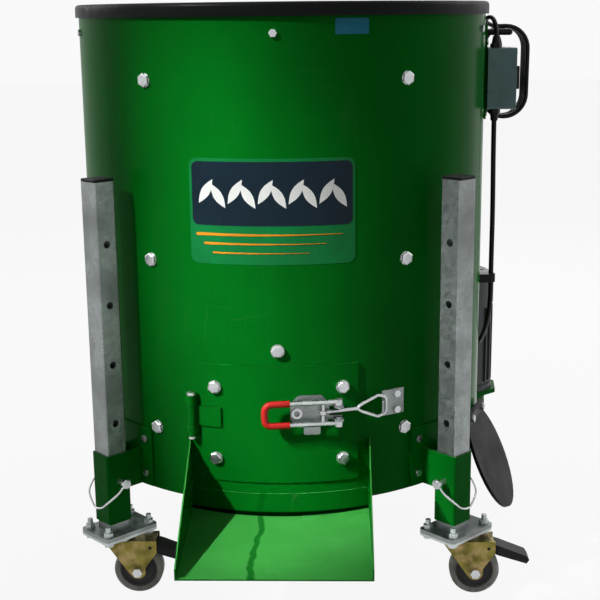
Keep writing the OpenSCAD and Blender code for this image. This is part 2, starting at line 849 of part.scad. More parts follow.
module caster_plate(leg) {
    color("lightgray") {
        difference() {
            around(leg_az[leg]) translate([0, -leg_r, 0]) translate(plate_shift[leg])
                translate([0, 0, swivel_top]) rotate([0, 0, plate_turn[leg]])
                    round_plate(plate_l, plate_b, plate_t, 6);
            around(leg_az[leg]) translate([0, -leg_r, 0]) plate_bolts(leg)
                translate([0, 0, swivel_top - over])
                    cylinder(d = plate_bolt_d + 2 * fit, h = plate_t + 2 * over);
        }
        translate(caster_at(leg)) {
            translate([0, 0, swivel_top - race_t]) cylinder(d = swivel_d, h = race_t);
            translate([0, 0, fork_top - fork_yoke - gap - 3])
                cylinder(d = king_d, h = caster_h - fork_top + fork_yoke);
            translate([0, 0, fork_top - fork_yoke - gap - 4]) cylinder(d = king_d + 8, h = 4);
        }
        around(leg_az[leg]) translate([0, -leg_r, 0]) plate_bolts(leg)
            up_bolt(swivel_top - seat, plate_bolt_d, 13, 5, plate_t + foot_t + 2 * seat, 6.5, 8);
    }
}

// A caster's pieces are made trailing to +X
module fork(leg) {
    boss_r = 12;
    color("darkkhaki")
    translate(caster_at(leg)) {
        difference() {
            union() {
                translate([0, 0, fork_top - fork_yoke]) cylinder(d = swivel_d, h = fork_yoke);
                translate([-16, -fork_in - fork_t, fork_top - fork_yoke])
                    cube([pedal_x + 8 + 16, 2 * (fork_in + fork_t), fork_yoke]);
                for (y = [-1, 1])
                    translate([0, y * (fork_in + fork_t / 2) + fork_t / 2, 0]) rotate([90, 0, 0])
                        linear_extrude(fork_t) {
                            polygon([
                                [-22, fork_top], [pedal_x + 10, fork_top], [pedal_x + 10, pedal_z - 8],
                                [trail + boss_r, axle_z + 6], [trail + boss_r, axle_z],
                                [trail - boss_r, axle_z - 4]
                            ]);
                            translate([trail, axle_z]) circle(boss_r);
                        }
            }
            translate([0, 0, fork_top - 2 * fork_yoke]) cylinder(d = king_d + 2 * fit, h = 3 * fork_yoke);
            translate([trail, 0, axle_z]) rotate([90, 0, 0])
                cylinder(d = axle_d + 2 * fit, h = 4 * fork_in, center = true);
            translate([pedal_x, 0, pedal_z]) rotate([90, 0, 0])
                cylinder(d = pedal_pin_d + 2 * fit, h = 4 * fork_in, center = true);
        }
        axle();
    }
}

module axle() {
    half = fork_in + fork_t + seat;
    translate([trail, 0, axle_z]) rotate([90, 0, 0]) {
        cylinder(d = axle_d, h = 2 * half + 2, center = true);
        for (s = [0, 1])
            mirror([0, 0, s]) translate([0, 0, half]) cylinder(d = 13 / cos(30), h = 6, $fn = 6);
    }
}

module wheel(leg) {
    core_r = wheel_d / 2 - 9;
    bore_r = axle_d / 2 + fit;
    w = wheel_w / 2;
    color("whitesmoke")
    translate(caster_at(leg)) translate([trail, 0, axle_z]) rotate([90, 0, 0]) {
        rotate_extrude()
            polygon([
                [core_r, 2 - w], [wheel_d / 2 - 3, -w], [wheel_d / 2, 4 - w],
                [wheel_d / 2, w - 4], [wheel_d / 2 - 3, w], [core_r, w - 2]
            ]);
        rotate_extrude()
            polygon([
                [bore_r, -w - 3], [bore_r + 6, -w - 3], [bore_r + 7, 5 - w], [core_r - 5, 5 - w],
                [core_r - seat, 2 - w], [core_r - seat, w - 2],
                [core_r - 5, w - 5], [bore_r + 7, w - 5], [bore_r + 6, w + 3], [bore_r, w + 3]
            ]);
    }
}

module brake(leg) {
    half = fork_in - 1.5;
    color("black")
    translate(caster_at(leg)) translate([pedal_x, 0, pedal_z]) {
        rotate([90, 0, 0]) cylinder(d = pedal_pin_d, h = 2 * (fork_in + fork_t), center = true);
        translate([0, half, 0]) rotate([90, 0, 0])
            linear_extrude(2 * half)
                polygon([
                    [-7, -3], [4, -8], [16, -13], [58, -26], [62, -20], [58, -14],
                    [18, 2], [7, 5.5], [-5, 5.5]
                ]);
    }
}

// Drive

module bearing_housing() {
    color("dimgray")
    translate([0, 0, base_top])
    difference() {
        union() {
            cylinder(d = 2 * housing_bolt_r + 26, h = housing_flange);
            cylinder(d = housing_d, h = housing_h);
        }
        translate([0, 0, -over]) cylinder(d = spindle_d + 2 * seat, h = housing_h + 2 * over);
        for (a = corners)
            rotate([0, 0, a]) translate([housing_bolt_r, 0, -over])
                cylinder(d = bolt_d + 2 * fit, h = housing_h);
        for (a = corners)
            rotate([0, 0, a]) translate([housing_bolt_r, 0, housing_flange])
                cylinder(d = bolt_af / cos(30) + 2, h = housing_h);
    }
}

module spindle() {
    z0 = belt_z - pulley_face / 2 - 6;
    color("silver") {
        translate([0, 0, z0]) cylinder(d = spindle_d, h = disc_z + disc_t + seat + over - z0);
        translate([0, 0, disc_z + disc_t + seat]) cylinder(d = 46 / cos(30), h = 12, $fn = 6);
    }
}

module hulling_disc() {
    bore = spindle_d + 2 * seat;
    color("slategray")
    difference() {
        union() {
            translate([0, 0, hub_z]) cylinder(d = spindle_d + 66, h = disc_z - hub_z + disc_t);
            translate([0, 0, disc_z]) cylinder(r = disc_r, h = disc_t, $fn = 180);
            for (i = [0 : ribs - 1])
                rotate([0, 0, 360 * i / ribs]) translate([rib_start, -rib_w / 2, disc_z])
                    cube([disc_r - rib_short - rib_start, rib_w, disc_t + rib_h]);
            for (a = [0, 180])
                rotate([0, 0, a + 15]) translate([wiper_start, -rib_w / 2, base_top + wiper_lift])
                    cube([disc_r - wiper_short - wiper_start, rib_w, disc_z - base_top - wiper_lift + over]);
        }
        translate([0, 0, hub_z - over]) cylinder(d = bore, h = disc_z - hub_z + disc_t + 2 * over);
    }
}

// Grooved pulley: outer radius r, bore b, with its groove for the belt
module pulley(r, b, hub_r, hub_h) {
    f = pulley_face / 2;
    g = belt_w / 2 + gap;
    rotate_extrude()
        polygon([
            [b, -hub_h], [hub_r, -hub_h], [hub_r, -f / 2], [r - belt_t - 6, -f / 2], [r - belt_t - 6, -f],
            [r, -f],
            [r, -g], [r - belt_t, -g], [r - belt_t, g], [r, g], [r, f], [r - belt_t - 6, f],
            [r - belt_t - 6, f / 2], [hub_r, f / 2], [hub_r, hub_h], [b, hub_h]
        ]);
}

module driven_pulley() {
    color("gray")
    translate([0, 0, belt_z]) pulley(pulley_d / 2, spindle_d / 2 + seat, spindle_d / 2 + 12, 13);
}

module motor_pulley() {
    r = motor_pulley_d / 2;
    f = pulley_face / 2;
    g = belt_w / 2 + gap;
    color("gray")
    translate(motor_at) {
        translate([0, 0, belt_z]) rotate_extrude()
            polygon([
                [0, -f], [r, -f], [r, -g], [r - belt_t, -g], [r - belt_t, g], [r, g], [r, f], [0, f]
            ]);
        translate([0, 0, belt_z]) cylinder(d = shaft_d, h = motor_z + 28 - belt_z);
    }
}

// Outline of a loop round the motor's axis and the drum's axis, with round ends of radius a and b
function loop_line(a, b, arc) =
    let (lean = asin((b - a) / motor_r), da = (180 - 2 * lean) / arc, db = (180 + 2 * lean) / arc)
    concat(
        [for (i = [0 : arc]) let (t = -90 + lean + i * da) [motor_r + a * cos(t), a * sin(t)]],
        [for (i = [0 : arc]) let (t = 90 - lean + i * db) [b * cos(t), b * sin(t)]]
    );

// Turns a shape made along +X to the motor's direction
module to_motor() {
    rotate([0, 0, motor_az - 90]) children();
}

module v_belt() {
    in = gap - belt_t;
    color("black")
    to_motor() translate([0, 0, belt_z - belt_w / 2])
    linear_extrude(belt_w)
    difference() {
        polygon(loop_line(motor_pulley_d / 2 + gap, pulley_d / 2 + gap, belt_steps));
        polygon(loop_line(motor_pulley_d / 2 + in, (pulley_d / 2 + in) / cos(2), belt_steps));
    }
}

module belt_guard() {
    a = motor_pulley_d / 2 + guard_room + 5;
    b = pulley_d / 2 + guard_room;
    color("darkgreen")
    to_motor() translate([0, 0, guard_z])
    difference() {
        linear_extrude(bracket_z - guard_z) polygon(loop_line(a, b, belt_steps));
        translate([0, 0, guard_wall]) linear_extrude(bracket_z - guard_z)
            polygon(loop_line(a - guard_wall, b - guard_wall, belt_steps));
    }
}

module motor_bracket() {
    half = motor_face_r + 2;
    inner = 230;
    end = motor_r + half;
    cut = half / 2;
    color("darkgreen")
    difference() {
        around(motor_az) translate([0, 0, bracket_z])
            linear_extrude(bracket_t)
                polygon([
                    [-half, -inner], [half, -inner], [half, cut - end], [half - cut, -end],
                    [cut - half, -end], [-half, cut - end]
                ]);
        translate(motor_at) translate([0, 0, bracket_z - over]) cylinder(d = 60, h = bracket_t + 2 * over);
        for (a = corners)
            translate(motor_at) rotate([0, 0, a]) translate([motor_bolt_r, 0, bracket_z - over])
                cylinder(d = small_d + 2 * fit, h = bracket_t + 2 * over);
    }
}

module motor_body() {
    r = motor_d / 2;
    fins = 28;
    color("darkslategray")
    translate(motor_at) translate([0, 0, motor_z])
    difference() {
        union() {
            cylinder(r = motor_face_r, h = flange_t);
            cylinder(r = r, h = motor_h);
            for (i = [0 : fins - 1])
                let (a = 360 * i / fins)
                    if (abs(a - 270) > 40)
                        rotate([0, 0, a]) translate([r - 2, -1.5, flange_t + 6])
                            cube([fin + 2, 3, motor_h - flange_t - 12]);
            translate([-term_w / 2 + 8, -r - fin, term_z - motor_z + 8]) cube([term_w - 16, r, term_h - 16]);
        }
        translate([0, 0, -over]) cylinder(d = shaft_d + 2 * seat, h = 30 + over);
        for (a = corners)
            rotate([0, 0, a]) translate([motor_bolt_r, 0, -over])
                cylinder(d = small_d + 2 * fit, h = motor_bolt_in + 2 + over);
    }
}

module motor_fan_cover() {
    r = motor_d / 2 + fin;
    color("black")
    translate(motor_at) translate([0, 0, motor_z + motor_h + seat])
    difference() {
        union() {
            cylinder(r = r, h = fan_h - 10);
            translate([0, 0, fan_h - 10]) cylinder(r1 = r, r2 = r - 10, h = 10);
        }
        translate([0, 0, 3]) cylinder(r = r - 3, h = fan_h - 14);
        for (i = [0 : 11])
            rotate([0, 0, 30 * i]) translate([18, -3, fan_h - 12]) cube([r - 36, 6, 20]);
    }
}

module terminal_box() {
    y0 = -motor_d / 2 - fin - seat;
    color("black")
    translate(motor_at) translate([0, y0, term_z])
    difference() {
        translate([0, 0, term_h / 2]) rotate([90, 0, 0]) round_plate(term_w, term_h, term_deep, 6);
        translate([-term_w / 2 + 3, -term_deep + 3, 3]) cube([term_w - 6, term_deep - 6, term_h - 6]);
    }
}

// Door

module door_panel() {
    color("green")
    difference() {
        shell_patch(door_r, door_out, door_w, door_z, door_h);
        door_bolt_holes();
        around(latch_az) latch_screw_places() bolt_hole(small_d);
    }
}

module door_bolt_holes() {
    for (az = [-door_bolt_az, door_bolt_az], z = door_bolt_z)
        around(az) translate([0, 0, z]) bolt_hole(bolt_d);
}

module door_liner() {
    w = 2 * (hole_half - liner_play);
    color("darkgreen")
    difference() {
        shell_patch(r_in, door_r - seat, w, door_z + door_lap + liner_play,
                    door_h - 2 * (door_lap + liner_play));
        door_bolt_holes();
        around(latch_az) latch_screw_places() out_cyl(-R / 2, R, small_af + 6);
    }
}

module door_bolts() {
    face = door_out + seat;
    color("silver")
    for (az = [-door_bolt_az, door_bolt_az], z = door_bolt_z)
        around(az) translate([0, 0, z])
            wall_bolt(face, bolt_d, bolt_af, bolt_head, face - R + nut_seat(bolt_af), nut_h);
}

module hinge_lugs() {
    color("green")
    around(hinge_az)
    for (z = [hinge_z, hinge_z + hinge_h - (hinge_h - knuckle) / 2])
        difference() {
            union() {
                translate([0, -hinge_r, z]) cylinder(d = hinge_d, h = (hinge_h - knuckle) / 2);
                translate([-hinge_d / 2 + 1, -hinge_r, z])
                    cube([hinge_d - 2, hinge_out - seat, (hinge_h - knuckle) / 2]);
            }
            translate([0, -hinge_r, z - over]) cylinder(d = hinge_pin_d + 2 * fit, h = hinge_h);
        }
}

module hinge_pin() {
    color("silver")
    around(hinge_az) translate([0, -hinge_r, 0]) {
        translate([0, 0, hinge_z - 4]) cylinder(d = hinge_pin_d, h = hinge_h + 5);
        translate([0, 0, hinge_z + hinge_h + seat]) cylinder(d = hinge_d - 1, h = 4);
        translate([0, 0, hinge_z - 4]) cylinder(d = hinge_d - 2, h = 4 - seat);
    }
}

module hinge_leaf() {
    z = hinge_z + (hinge_h - knuckle) / 2 + gap;
    h = knuckle - 2 * gap;
    leaf_w = 44;
    leaf_t = 3;
    color("green")
    around(hinge_az)
    difference() {
        union() {
            translate([0, -hinge_r, z]) cylinder(d = hinge_d, h = h);
            intersection() {
                difference() {
                    translate([0, 0, z]) cylinder(r = door_out + seat + leaf_t, h = h, $fn = 180);
                    translate([0, 0, z - over]) cylinder(r = door_out + seat, h = h + 2 * over, $fn = 180);
                }
                translate([0, -2 * R, z - over]) cube([leaf_w, 2 * R, h + 2 * over]);
            }
        }
        translate([0, -hinge_r, z - over]) cylinder(d = hinge_pin_d + 2 * fit, h = h + 2 * over);
    }
}

// Toggle latch

// Children at the latch base's two screws
module latch_screw_places() {
    for (x = [-14, 10]) translate([x, 0, latch_z + latch_h / 2 - 7]) children();
}

module latch_base() {
    cut = 12;
    w = latch_w / 2;
    h = latch_h / 2;
    ear_t = 3;
    ear_r = lever_d / 2 + 3;
    ear_z = lever_gap / 2 - boss_h / 2 - ear_t - gap;
    color("lightgray")
    around(latch_az)
    difference() {
        union() {
            translate([0, -R - latch_back, latch_z]) rotate([90, 0, 0])
                linear_extrude(latch_t)
                    polygon([
                        [-w, cut - h], [-w, h - cut], [cut - w, h], [w - cut, h],
                        [w, h - cut], [w, cut - h], [w - cut, -h], [cut - w, -h]
                    ]);
            for (s = [-1, 1])
                translate([0, -R - latch_back - latch_t, latch_z + s * (ear_z + ear_t / 2) - ear_t])
                    cube([pivot_x + ear_r, latch_t, 2 * ear_t]);
            for (s = [-1, 1])
                translate([
                    pivot_x - ear_r, -R - pivot_out - ear_r, latch_z + s * (ear_z + ear_t / 2) - ear_t / 2
                ])
                    cube([2 * ear_r, pivot_out + ear_r - latch_back, ear_t]);
            latch_screw_places() {
                out_hex(-R - latch_back - latch_t + seat, small_head, small_af);
                out_cyl(-R + 1, latch_back + latch_t, small_d);
            }
        }
        translate([pivot_x, -R - pivot_out, latch_z])
            cylinder(d = pivot_pin_d + 2 * fit, h = 3 * lever_gap, center = true);
    }
}

// Bent rod with its two arms, their pivot pins and the cross pin that carries the loop
module latch_lever() {
    z = lever_gap / 2;
    x1 = pivot_x - lever_len + grip_len;
    color("lightgray")
    around(latch_az) translate([0, -R, latch_z]) {
        for (s = [-1, 1]) {
            rod([pivot_x, -pivot_out, s * z], [x1, -pivot_out, s * z], lever_d);
            translate([pivot_x, -pivot_out, s * z]) cylinder(d = lever_d + 5, h = boss_h, center = true);
            translate([pivot_x, -pivot_out, s * (z - 5)]) cylinder(d = pivot_pin_d, h = 9, center = true);
        }
        translate([loop_x, -loop_out, 0])
            cylinder(d = trunnion_d, h = lever_gap + lever_d - 1, center = true);
    }
}

module latch_grip() {
    z = lever_gap / 2;
    x0 = pivot_x - lever_len + grip_len - seat;
    x1 = pivot_x - lever_len;
    y = -pivot_out;
    color("red")
    around(latch_az) translate([0, -R, latch_z])
        bent_rod([
            [x0, y, -z], [x1 + 8, y, -z], [x1, y, -z + 8], [x1, y, z - 8], [x1 + 8, y, z], [x0, y, z]
        ], lever_d + 3);
}

// Point of the loop at x along the latch and z above its middle, in its plane from cross pin to bar
function on_line(x, z) = [x, -loop_out + (loop_out - bar_out) * (x - loop_x) / (bar_x - loop_x), z];

module latch_loop() {
    eye_d = trunnion_d + 2 * fit;
    color("gainsboro")
    around(latch_az) translate([0, -R, latch_z])
    difference() {
        union() {
            translate([loop_x, -loop_out, 0]) cylinder(d = eye_d + 6, h = wire_d + 1, center = true);
            rod(on_line(loop_x, 0), on_line(neck_x + 2, 0), wire_d + 1);
            bent_rod([
                on_line(neck_x, 0), on_line(bar_x - 12, loop_half), on_line(bar_x, loop_half - 4),
                on_line(bar_x, 4 - loop_half), on_line(bar_x - 12, -loop_half), on_line(neck_x, 0)
            ], wire_d);
        }
        translate([loop_x, -loop_out, 0]) cylinder(d = eye_d, h = 4 * wire_d, center = true);
    }
}

// Keeper: a plate on the drum with a lip that stands in the loop, square to the door's way out
module latch_keeper() {
    bar_at_x = bar_x * cos(latch_az) + (R + bar_out) * sin(latch_az);
    lip_x = bar_at_x - wire_d / 2 - gap - keeper_t;
    lip_y = -sqrt(pow(R, 2) - pow(lip_x, 2));
    color("lightgray")
    difference() {
        union() {
            intersection() {
                around(keeper_az)
                    shell_patch(R + seat, R + seat + keeper_t, keeper_w, latch_z - keeper_h / 2, keeper_h);
                translate([lip_x, -2 * R, 0]) cube([R, 2 * R, drum_top]);
            }
            translate([lip_x, lip_y - lip_h, latch_z - 9]) cube([keeper_t, lip_h - 1, 18]);
        }
        around(keeper_az)
            for (z = keeper_z) translate([keeper_bolt_x, 0, z]) bolt_hole(small_d);
    }
}

// Switch box and cables

module switch_bracket() {
    color("green")
    around(90)
        difference() {
            translate([-back_w / 2, -R - bracket_out - bracket_w, box_z - back_low])
                cube([back_w, bracket_w, box_h + back_low + back_high]);
            for (z = foot_z) translate([0, 0, z]) bolt_hole(small_d);
        }
}

// Bent rod that carries the cord: out from the bracket, then back through the loops
module peg() {
    out = coil_x - R - bracket_out - bracket_w;
    back = coil_y + coil_pitch * cord_loops + 12 - peg_x;
    rod([0, -seat, 0], [0, seat - peg_foot, 0], peg_d + 8);
    bent_rod([[0, -seat, 0], [0, -out, 0], [back, -out, 0]], peg_d);
}

module switch_box() {
    color("slategray")
    around(90)
    difference() {
        translate([0, -R - box_out - seat, box_z + box_h / 2]) rotate([90, 0, 0])
            round_plate(box_w, box_h, box_split - box_out - seat, 5);
        translate([-box_w / 2 + box_wall, -R - box_split - over, box_z + box_wall])
            cube([box_w - 2 * box_wall, box_split - box_out - box_wall + over, box_h - 2 * box_wall]);
        for (z = [box_z, box_top])
            translate([gland_x, -R - gland_out, z]) cylinder(d = 10, h = 4 * box_wall, center = true);
    }
}

module switch_cover() {
    color("lightslategray")
    around(90)
    difference() {
        translate([0, -R - box_split - seat, box_z + box_h / 2]) rotate([90, 0, 0])
            round_plate(box_w, box_h, box_deep / 2 - seat, 5);
        translate([-box_w / 2 + box_wall, -R - box_out - box_deep + box_wall, box_z + box_wall])
            cube([box_w - 2 * box_wall, box_deep, box_h - 2 * box_wall]);
        translate([0, 0, box_z + box_h / 2]) out_cyl(-R, R, 8 + 2 * fit);
    }
}

module switch_knob() {
    face = R + box_out + box_deep;
    color("dimgray")
    around(90) translate([0, 0, box_z + box_h / 2]) {
        out_cyl(-face - gap, 3, knob_d);
        out_cyl(-face + 6, 8, 8);
        translate([-4.5, -face - 9.3, -knob_d / 2 + 3]) cube([9, 8, knob_d - 6]);
    }
}

// Glands of the switch box and the terminal box, the cable's clip on the drum and the cord's peg
module cable_fittings() {
    cable_end = cable_route[len(cable_route) - 1];
    term_face = motor_at.y - motor_d / 2 - fin - term_deep;
    color("dimgray") {
        translate([gland_at.x, gland_at.y, 0]) {
            gland(box_top + seat, gland_h - seat, cord_d, 1);
            gland(box_z - seat, gland_h - seat, cable_d, -1);
        }
        translate([cable_end.x, cable_end.y, cable_end.z]) rotate([-90, 0, 0])
            difference() {
                cylinder(d = gland_d, h = term_face - 2 * seat - cable_end.y);
                translate([0, 0, -over]) cylinder(d = cable_d - 2, h = 40);
            }
        cable_clip();
        around(90) translate([peg_x, -R - bracket_out - bracket_w, peg_z]) peg();
    }
}

// Cable gland standing on a face at height z, towards dir
module gland(z, h, d, dir) {
    translate([0, 0, z]) mirror([0, 0, dir < 0 ? 1 : 0])
    difference() {
        union() {
            cylinder(d = (gland_d + 2) / cos(30), h = h / 3, $fn = 6);
            cylinder(d = gland_d, h = h / 2);
            translate([0, 0, h / 2 - seat]) cylinder(d1 = gland_d - 1, d2 = d + 3, h = h / 2 + seat);
        }
        translate([0, 0, -over]) cylinder(d = d - 2, h = h + 2 * over);
    }
}

module cable_clip() {
    p = [for (q = cable_route) if (q.z == clip_z) q][0];
    face = sqrt(pow(R, 2) - pow(abs(p.y) - 9, 2)) + seat;
    difference() {
        union() {
            translate([face, p.y - 9, clip_z - 7]) cube([p.x - face, 18, 14]);
            translate([p.x, p.y, clip_z - 7]) cylinder(d = cable_d + 6, h = 14);
        }
        translate([p.x, p.y, clip_z - 8]) cylinder(d = cable_d + 2 * gap, h = 16);
        translate([0, 0, clip_z - 8]) cylinder(r = R + seat, h = 16, $fn = 180);
    }
}

module motor_cable() {
    color("black") tube(smooth(cable_route, 2), cable_d, 8);
}

module power_lead() {
    color("black") {
        tube(concat(smooth(lead_route, 2), [coil_path[0]]), cord_d, 8);
        tube(tail_route, cord_d, 8);
    }
}

module cord_coil() {
    color("black") tube(coil_path, cord_d, 6);
}

module power_plug() {
    color("black")
    translate(plug_at) {
        translate([0, 0, -relief_h]) cylinder(d1 = 16, d2 = cord_d + 2, h = relief_h);
        translate([0, 0, -relief_h - plug_h + 12]) cylinder(d = plug_d, h = plug_h - 22);
        translate([0, 0, -relief_h - 10]) cylinder(d1 = plug_d, d2 = 18, h = 10 + seat);
        for (y = [-1, 1])
            translate([0, y * 9.5, -relief_h - plug_h - 6]) cylinder(d = 4.8, h = 19);
    }
}

drum_shell();
base_plate();
rim_trim();
frame_fasteners();
liner_bars();
liner_bolts();
leg_sleeves();
chute();
hull_flap();
bearing_housing();
motor_bracket();
motor_body();
motor_fan_cover();
terminal_box();
belt_guard();
v_belt();
hinge_lugs();
hinge_pin();
latch_keeper();
switch_bracket();
switch_box();
switch_cover();
cable_fittings();
motor_cable();
power_lead();
cord_coil();
power_plug();
door_panel();
door_liner();
door_bolts();
hinge_leaf();
latch_base();
latch_lever();
latch_grip();
latch_loop();
switch_knob();
spindle();
hulling_disc();
driven_pulley();
motor_pulley();
leg_tube(left);  // leg_left
leg_tube(right);  // leg_right
leg_tube(rear);  // leg_rear
leg_cap(left);  // leg_cap_left
leg_cap(right);  // leg_cap_right
leg_cap(rear);  // leg_cap_rear
caster_plate(left);  // caster_plate_left
caster_plate(right);  // caster_plate_right
caster_plate(rear);  // caster_plate_rear
fork(left);  // fork_left
fork(right);  // fork_right
fork(rear);  // fork_rear
wheel(left);  // wheel_left
wheel(right);  // wheel_right
wheel(rear);  // wheel_rear
brake(left);  // brake_left
brake(right);  // brake_right
lock_pin(left);  // lock_pin_left
lock_pin(right);  // lock_pin_right
lock_pin(rear);  // lock_pin_rear
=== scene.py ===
"""Dresses the walnut huller's frame: finishes, cords, fasteners, latch, casters, label and a plain stage."""

import json
import math

import bmesh
import bpy
from mathutils import Matrix, Vector


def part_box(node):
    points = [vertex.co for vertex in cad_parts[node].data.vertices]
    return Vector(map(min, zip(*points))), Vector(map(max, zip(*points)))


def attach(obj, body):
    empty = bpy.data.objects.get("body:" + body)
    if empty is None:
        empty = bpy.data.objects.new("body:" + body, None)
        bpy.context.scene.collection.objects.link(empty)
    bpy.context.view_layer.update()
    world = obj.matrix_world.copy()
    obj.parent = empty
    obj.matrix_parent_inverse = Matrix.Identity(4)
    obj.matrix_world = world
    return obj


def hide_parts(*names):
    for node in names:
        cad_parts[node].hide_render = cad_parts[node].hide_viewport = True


bl_info = {
    "name": "Walnut Huller",
    "version": (1, 0, 0),
    "blender": (4, 5, 0),
    "location": "View3D > Sidebar > Huller",
    "description": "Dresses a walnut huller with enamel, zinc, cords, fasteners and a plain stage",
    "category": "Add Mesh",
}

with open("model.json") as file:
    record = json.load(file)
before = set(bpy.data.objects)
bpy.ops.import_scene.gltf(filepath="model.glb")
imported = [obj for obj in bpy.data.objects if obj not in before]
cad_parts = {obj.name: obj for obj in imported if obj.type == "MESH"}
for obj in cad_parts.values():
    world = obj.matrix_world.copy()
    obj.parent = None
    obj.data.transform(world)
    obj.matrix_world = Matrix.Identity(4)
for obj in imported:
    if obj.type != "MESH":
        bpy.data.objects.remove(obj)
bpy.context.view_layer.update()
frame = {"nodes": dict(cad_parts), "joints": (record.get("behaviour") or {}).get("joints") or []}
NODES = frame["nodes"]
JOINTS = {joint["name"]: joint for joint in frame["joints"]}

# Places taken from the frame, in metres
DRUM_LOW, DRUM_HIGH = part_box("drum_shell")
DRUM_R = DRUM_HIGH.x
LATCH_Z = JOINTS["latch_lever_turn"]["pos_m"][2]
LEGS = ("left", "right", "rear")
MM = 0.001
UP = Vector((0.0, 0.0, 1.0))
QUARTER = math.pi / 2


def colour(name, default, description):
    """A colour that a user may change."""
    return bpy.props.FloatVectorProperty(
        name=name, description=description, default=default, size=3, subtype="COLOR", min=0.0, max=1.0
    )


def length(name, default, description):
    """A length in metres that a user may change."""
    return bpy.props.FloatProperty(
        name=name, description=description, default=default, unit="LENGTH", subtype="DISTANCE", min=0.0
    )


def angle(name, degrees, description):
    """An angle that a user may change."""
    return bpy.props.FloatProperty(
        name=name, description=description, default=math.radians(degrees), subtype="ANGLE"
    )


def level(name, default, description):
    """A power, strength or focal length that a user may change."""
    return bpy.props.FloatProperty(name=name, description=description, default=default, min=0.0)


class HullerColours(bpy.types.PropertyGroup):
    """Colours of the huller's finishes."""

    enamel: colour("Enamel", (0.0008, 0.160, 0.010), "Green enamel of the drum and its sheet metal")
    zinc: colour("Zinc", (0.33, 0.36, 0.355), "Galvanised legs, plates and latch")
    bright: colour("Bright zinc", (0.62, 0.64, 0.65), "Bolt heads and wire")
    rubber: colour("Rubber", (0.006, 0.007, 0.007), "Rim trim, flap and cords")
    steel: colour("Steel", (0.36, 0.36, 0.37), "Hulling disc, spindle and liner bars")
    iron: colour("Cast iron", (0.075, 0.078, 0.082), "Pulleys and bearing housing")
    motor: colour("Motor grey", (0.055, 0.060, 0.064), "Motor body")
    box: colour("Box grey", (0.150, 0.260, 0.275), "Switch box and cover")
    plastic: colour("Black plastic", (0.016, 0.016, 0.017), "Caps, glands, knob and pedals")
    grip: colour("Red grip", (0.55, 0.012, 0.010), "Dipped grip of the latch")
    chromate: colour("Chromate", (0.22, 0.185, 0.042), "Yellow passivated caster forks")
    tyre: colour("Tyre", (0.60, 0.59, 0.56), "Soft grey tyres")
    core: colour("Wheel core", (0.045, 0.040, 0.042), "Dark cores of the wheels")
    label_ground: colour("Label ground", (0.004, 0.20, 0.045), "Field of the label")
    label_dark: colour("Label dark", (0.006, 0.018, 0.030), "Dark panel of the label")
    label_light: colour("Label light", (0.85, 0.87, 0.84), "Leaves of the label and mark on the knob")
    label_warm: colour("Label warm", (0.75, 0.30, 0.02), "Warm stripes of the label")
    sticker: colour("Sticker", (0.022, 0.24, 0.36), "Small plain sticker under the rim")


class HullerSizes(bpy.types.PropertyGroup):
    """Sizes of what the dressing adds to the frame."""

    soft_edge: length("Soft edge", 0.0006, "Round on the edges of sheet metal and machined pieces")
    washer: length("Washer", 0.0195, "Diameter of the washers under the large bolts")
    washer_t: length("Washer thickness", 0.0012, "Thickness of those washers")
    weld: length("Weld", 0.0055, "Width of the weld bead on the drum's seam")
    weld_pitch: length("Weld pitch", 0.0030, "Distance between the ripples of a weld bead")
    label_w: length("Label width", 0.236, "Width of the label along the drum")
    label_h: length("Label height", 0.148, "Height of the label")
    label_z: length("Label middle", 0.599, "Height of the label's middle above the floor")
    cord_d: length("Power cord", 0.007, "Diameter of the power cord")
    cable_d: length("Motor cable", 0.008, "Diameter of the motor cable")


class HullerStage(bpy.types.PropertyGroup):
    """Camera and light."""

    eye: bpy.props.FloatVectorProperty(
        name="Eye", description="Place of the camera", default=(0.0836, -1.954, 0.8642), size=3,
        subtype="TRANSLATION",
    )
    heading: angle("Heading", 1.79, "Turn of the camera to the left of +Y")
    pitch: angle("Pitch", 13.37, "Fall of the camera's line of sight")
    roll: angle("Roll", -0.63, "Turn of the camera about its line of sight")
    lens: level("Lens", 72.18, "Focal length in millimetres")
    key: level("Key", 0.55, "Power of the main lamp in watts")
    top: level("Top", 0.25, "Power of the lamp over the chute in watts")
    fill: level("Fill", 11.0, "Power of the side lamps in watts")
    world: level("World", 0.15, "Strength of the soft surround")
    white: level("White", 0.95, "Background as the camera sees it")


def colours():
    return bpy.context.scene.huller_colours


def sizes():
    return bpy.context.scene.huller_sizes


# Shader nodes

FLOAT = "NodeSocketFloat"
GEOMETRY = "NodeSocketGeometry"


def put(tree, kind, inputs=None, **settings):
    """Adds a node; inputs takes values or the sockets to link."""
    made = tree.nodes.new(kind)
    for key, value in settings.items():
        setattr(made, key, value)
    for key, value in (inputs or {}).items():
        if isinstance(value, bpy.types.NodeSocket):
            tree.links.new(value, made.inputs[key])
        else:
            made.inputs[key].default_value = value
    return made


def spread(tree, value, low, high, to_low=0.0, to_high=1.0):
    """Maps a value from one range to another, clamped."""
    inputs = {"Value": value, "From Min": low, "From Max": high, "To Min": to_low, "To Max": to_high}
    return put(tree, "ShaderNodeMapRange", inputs).outputs["Result"]


def math_node(tree, operation, first, second=0.0):
    return put(tree, "ShaderNodeMath", {0: first, 1: second}, operation=operation).outputs[0]


def times(tree, first, second):
    return math_node(tree, "MULTIPLY", first, second)


def minus(tree, first, second):
    return math_node(tree, "SUBTRACT", first, second)


def axes(tree, vector):
    """The X, Y and Z of a vector."""
    return put(tree, "ShaderNodeSeparateXYZ", {0: vector}).outputs


def noise(tree, entry, detail, scale=None):
    """Noise on a group's own vector, at a set scale or at the group's."""
    inputs = {"Vector": entry["Vector"], "Scale": scale or entry["Scale"], "Detail": detail}
    return put(tree, "ShaderNodeTexNoise", inputs).outputs["Fac"]


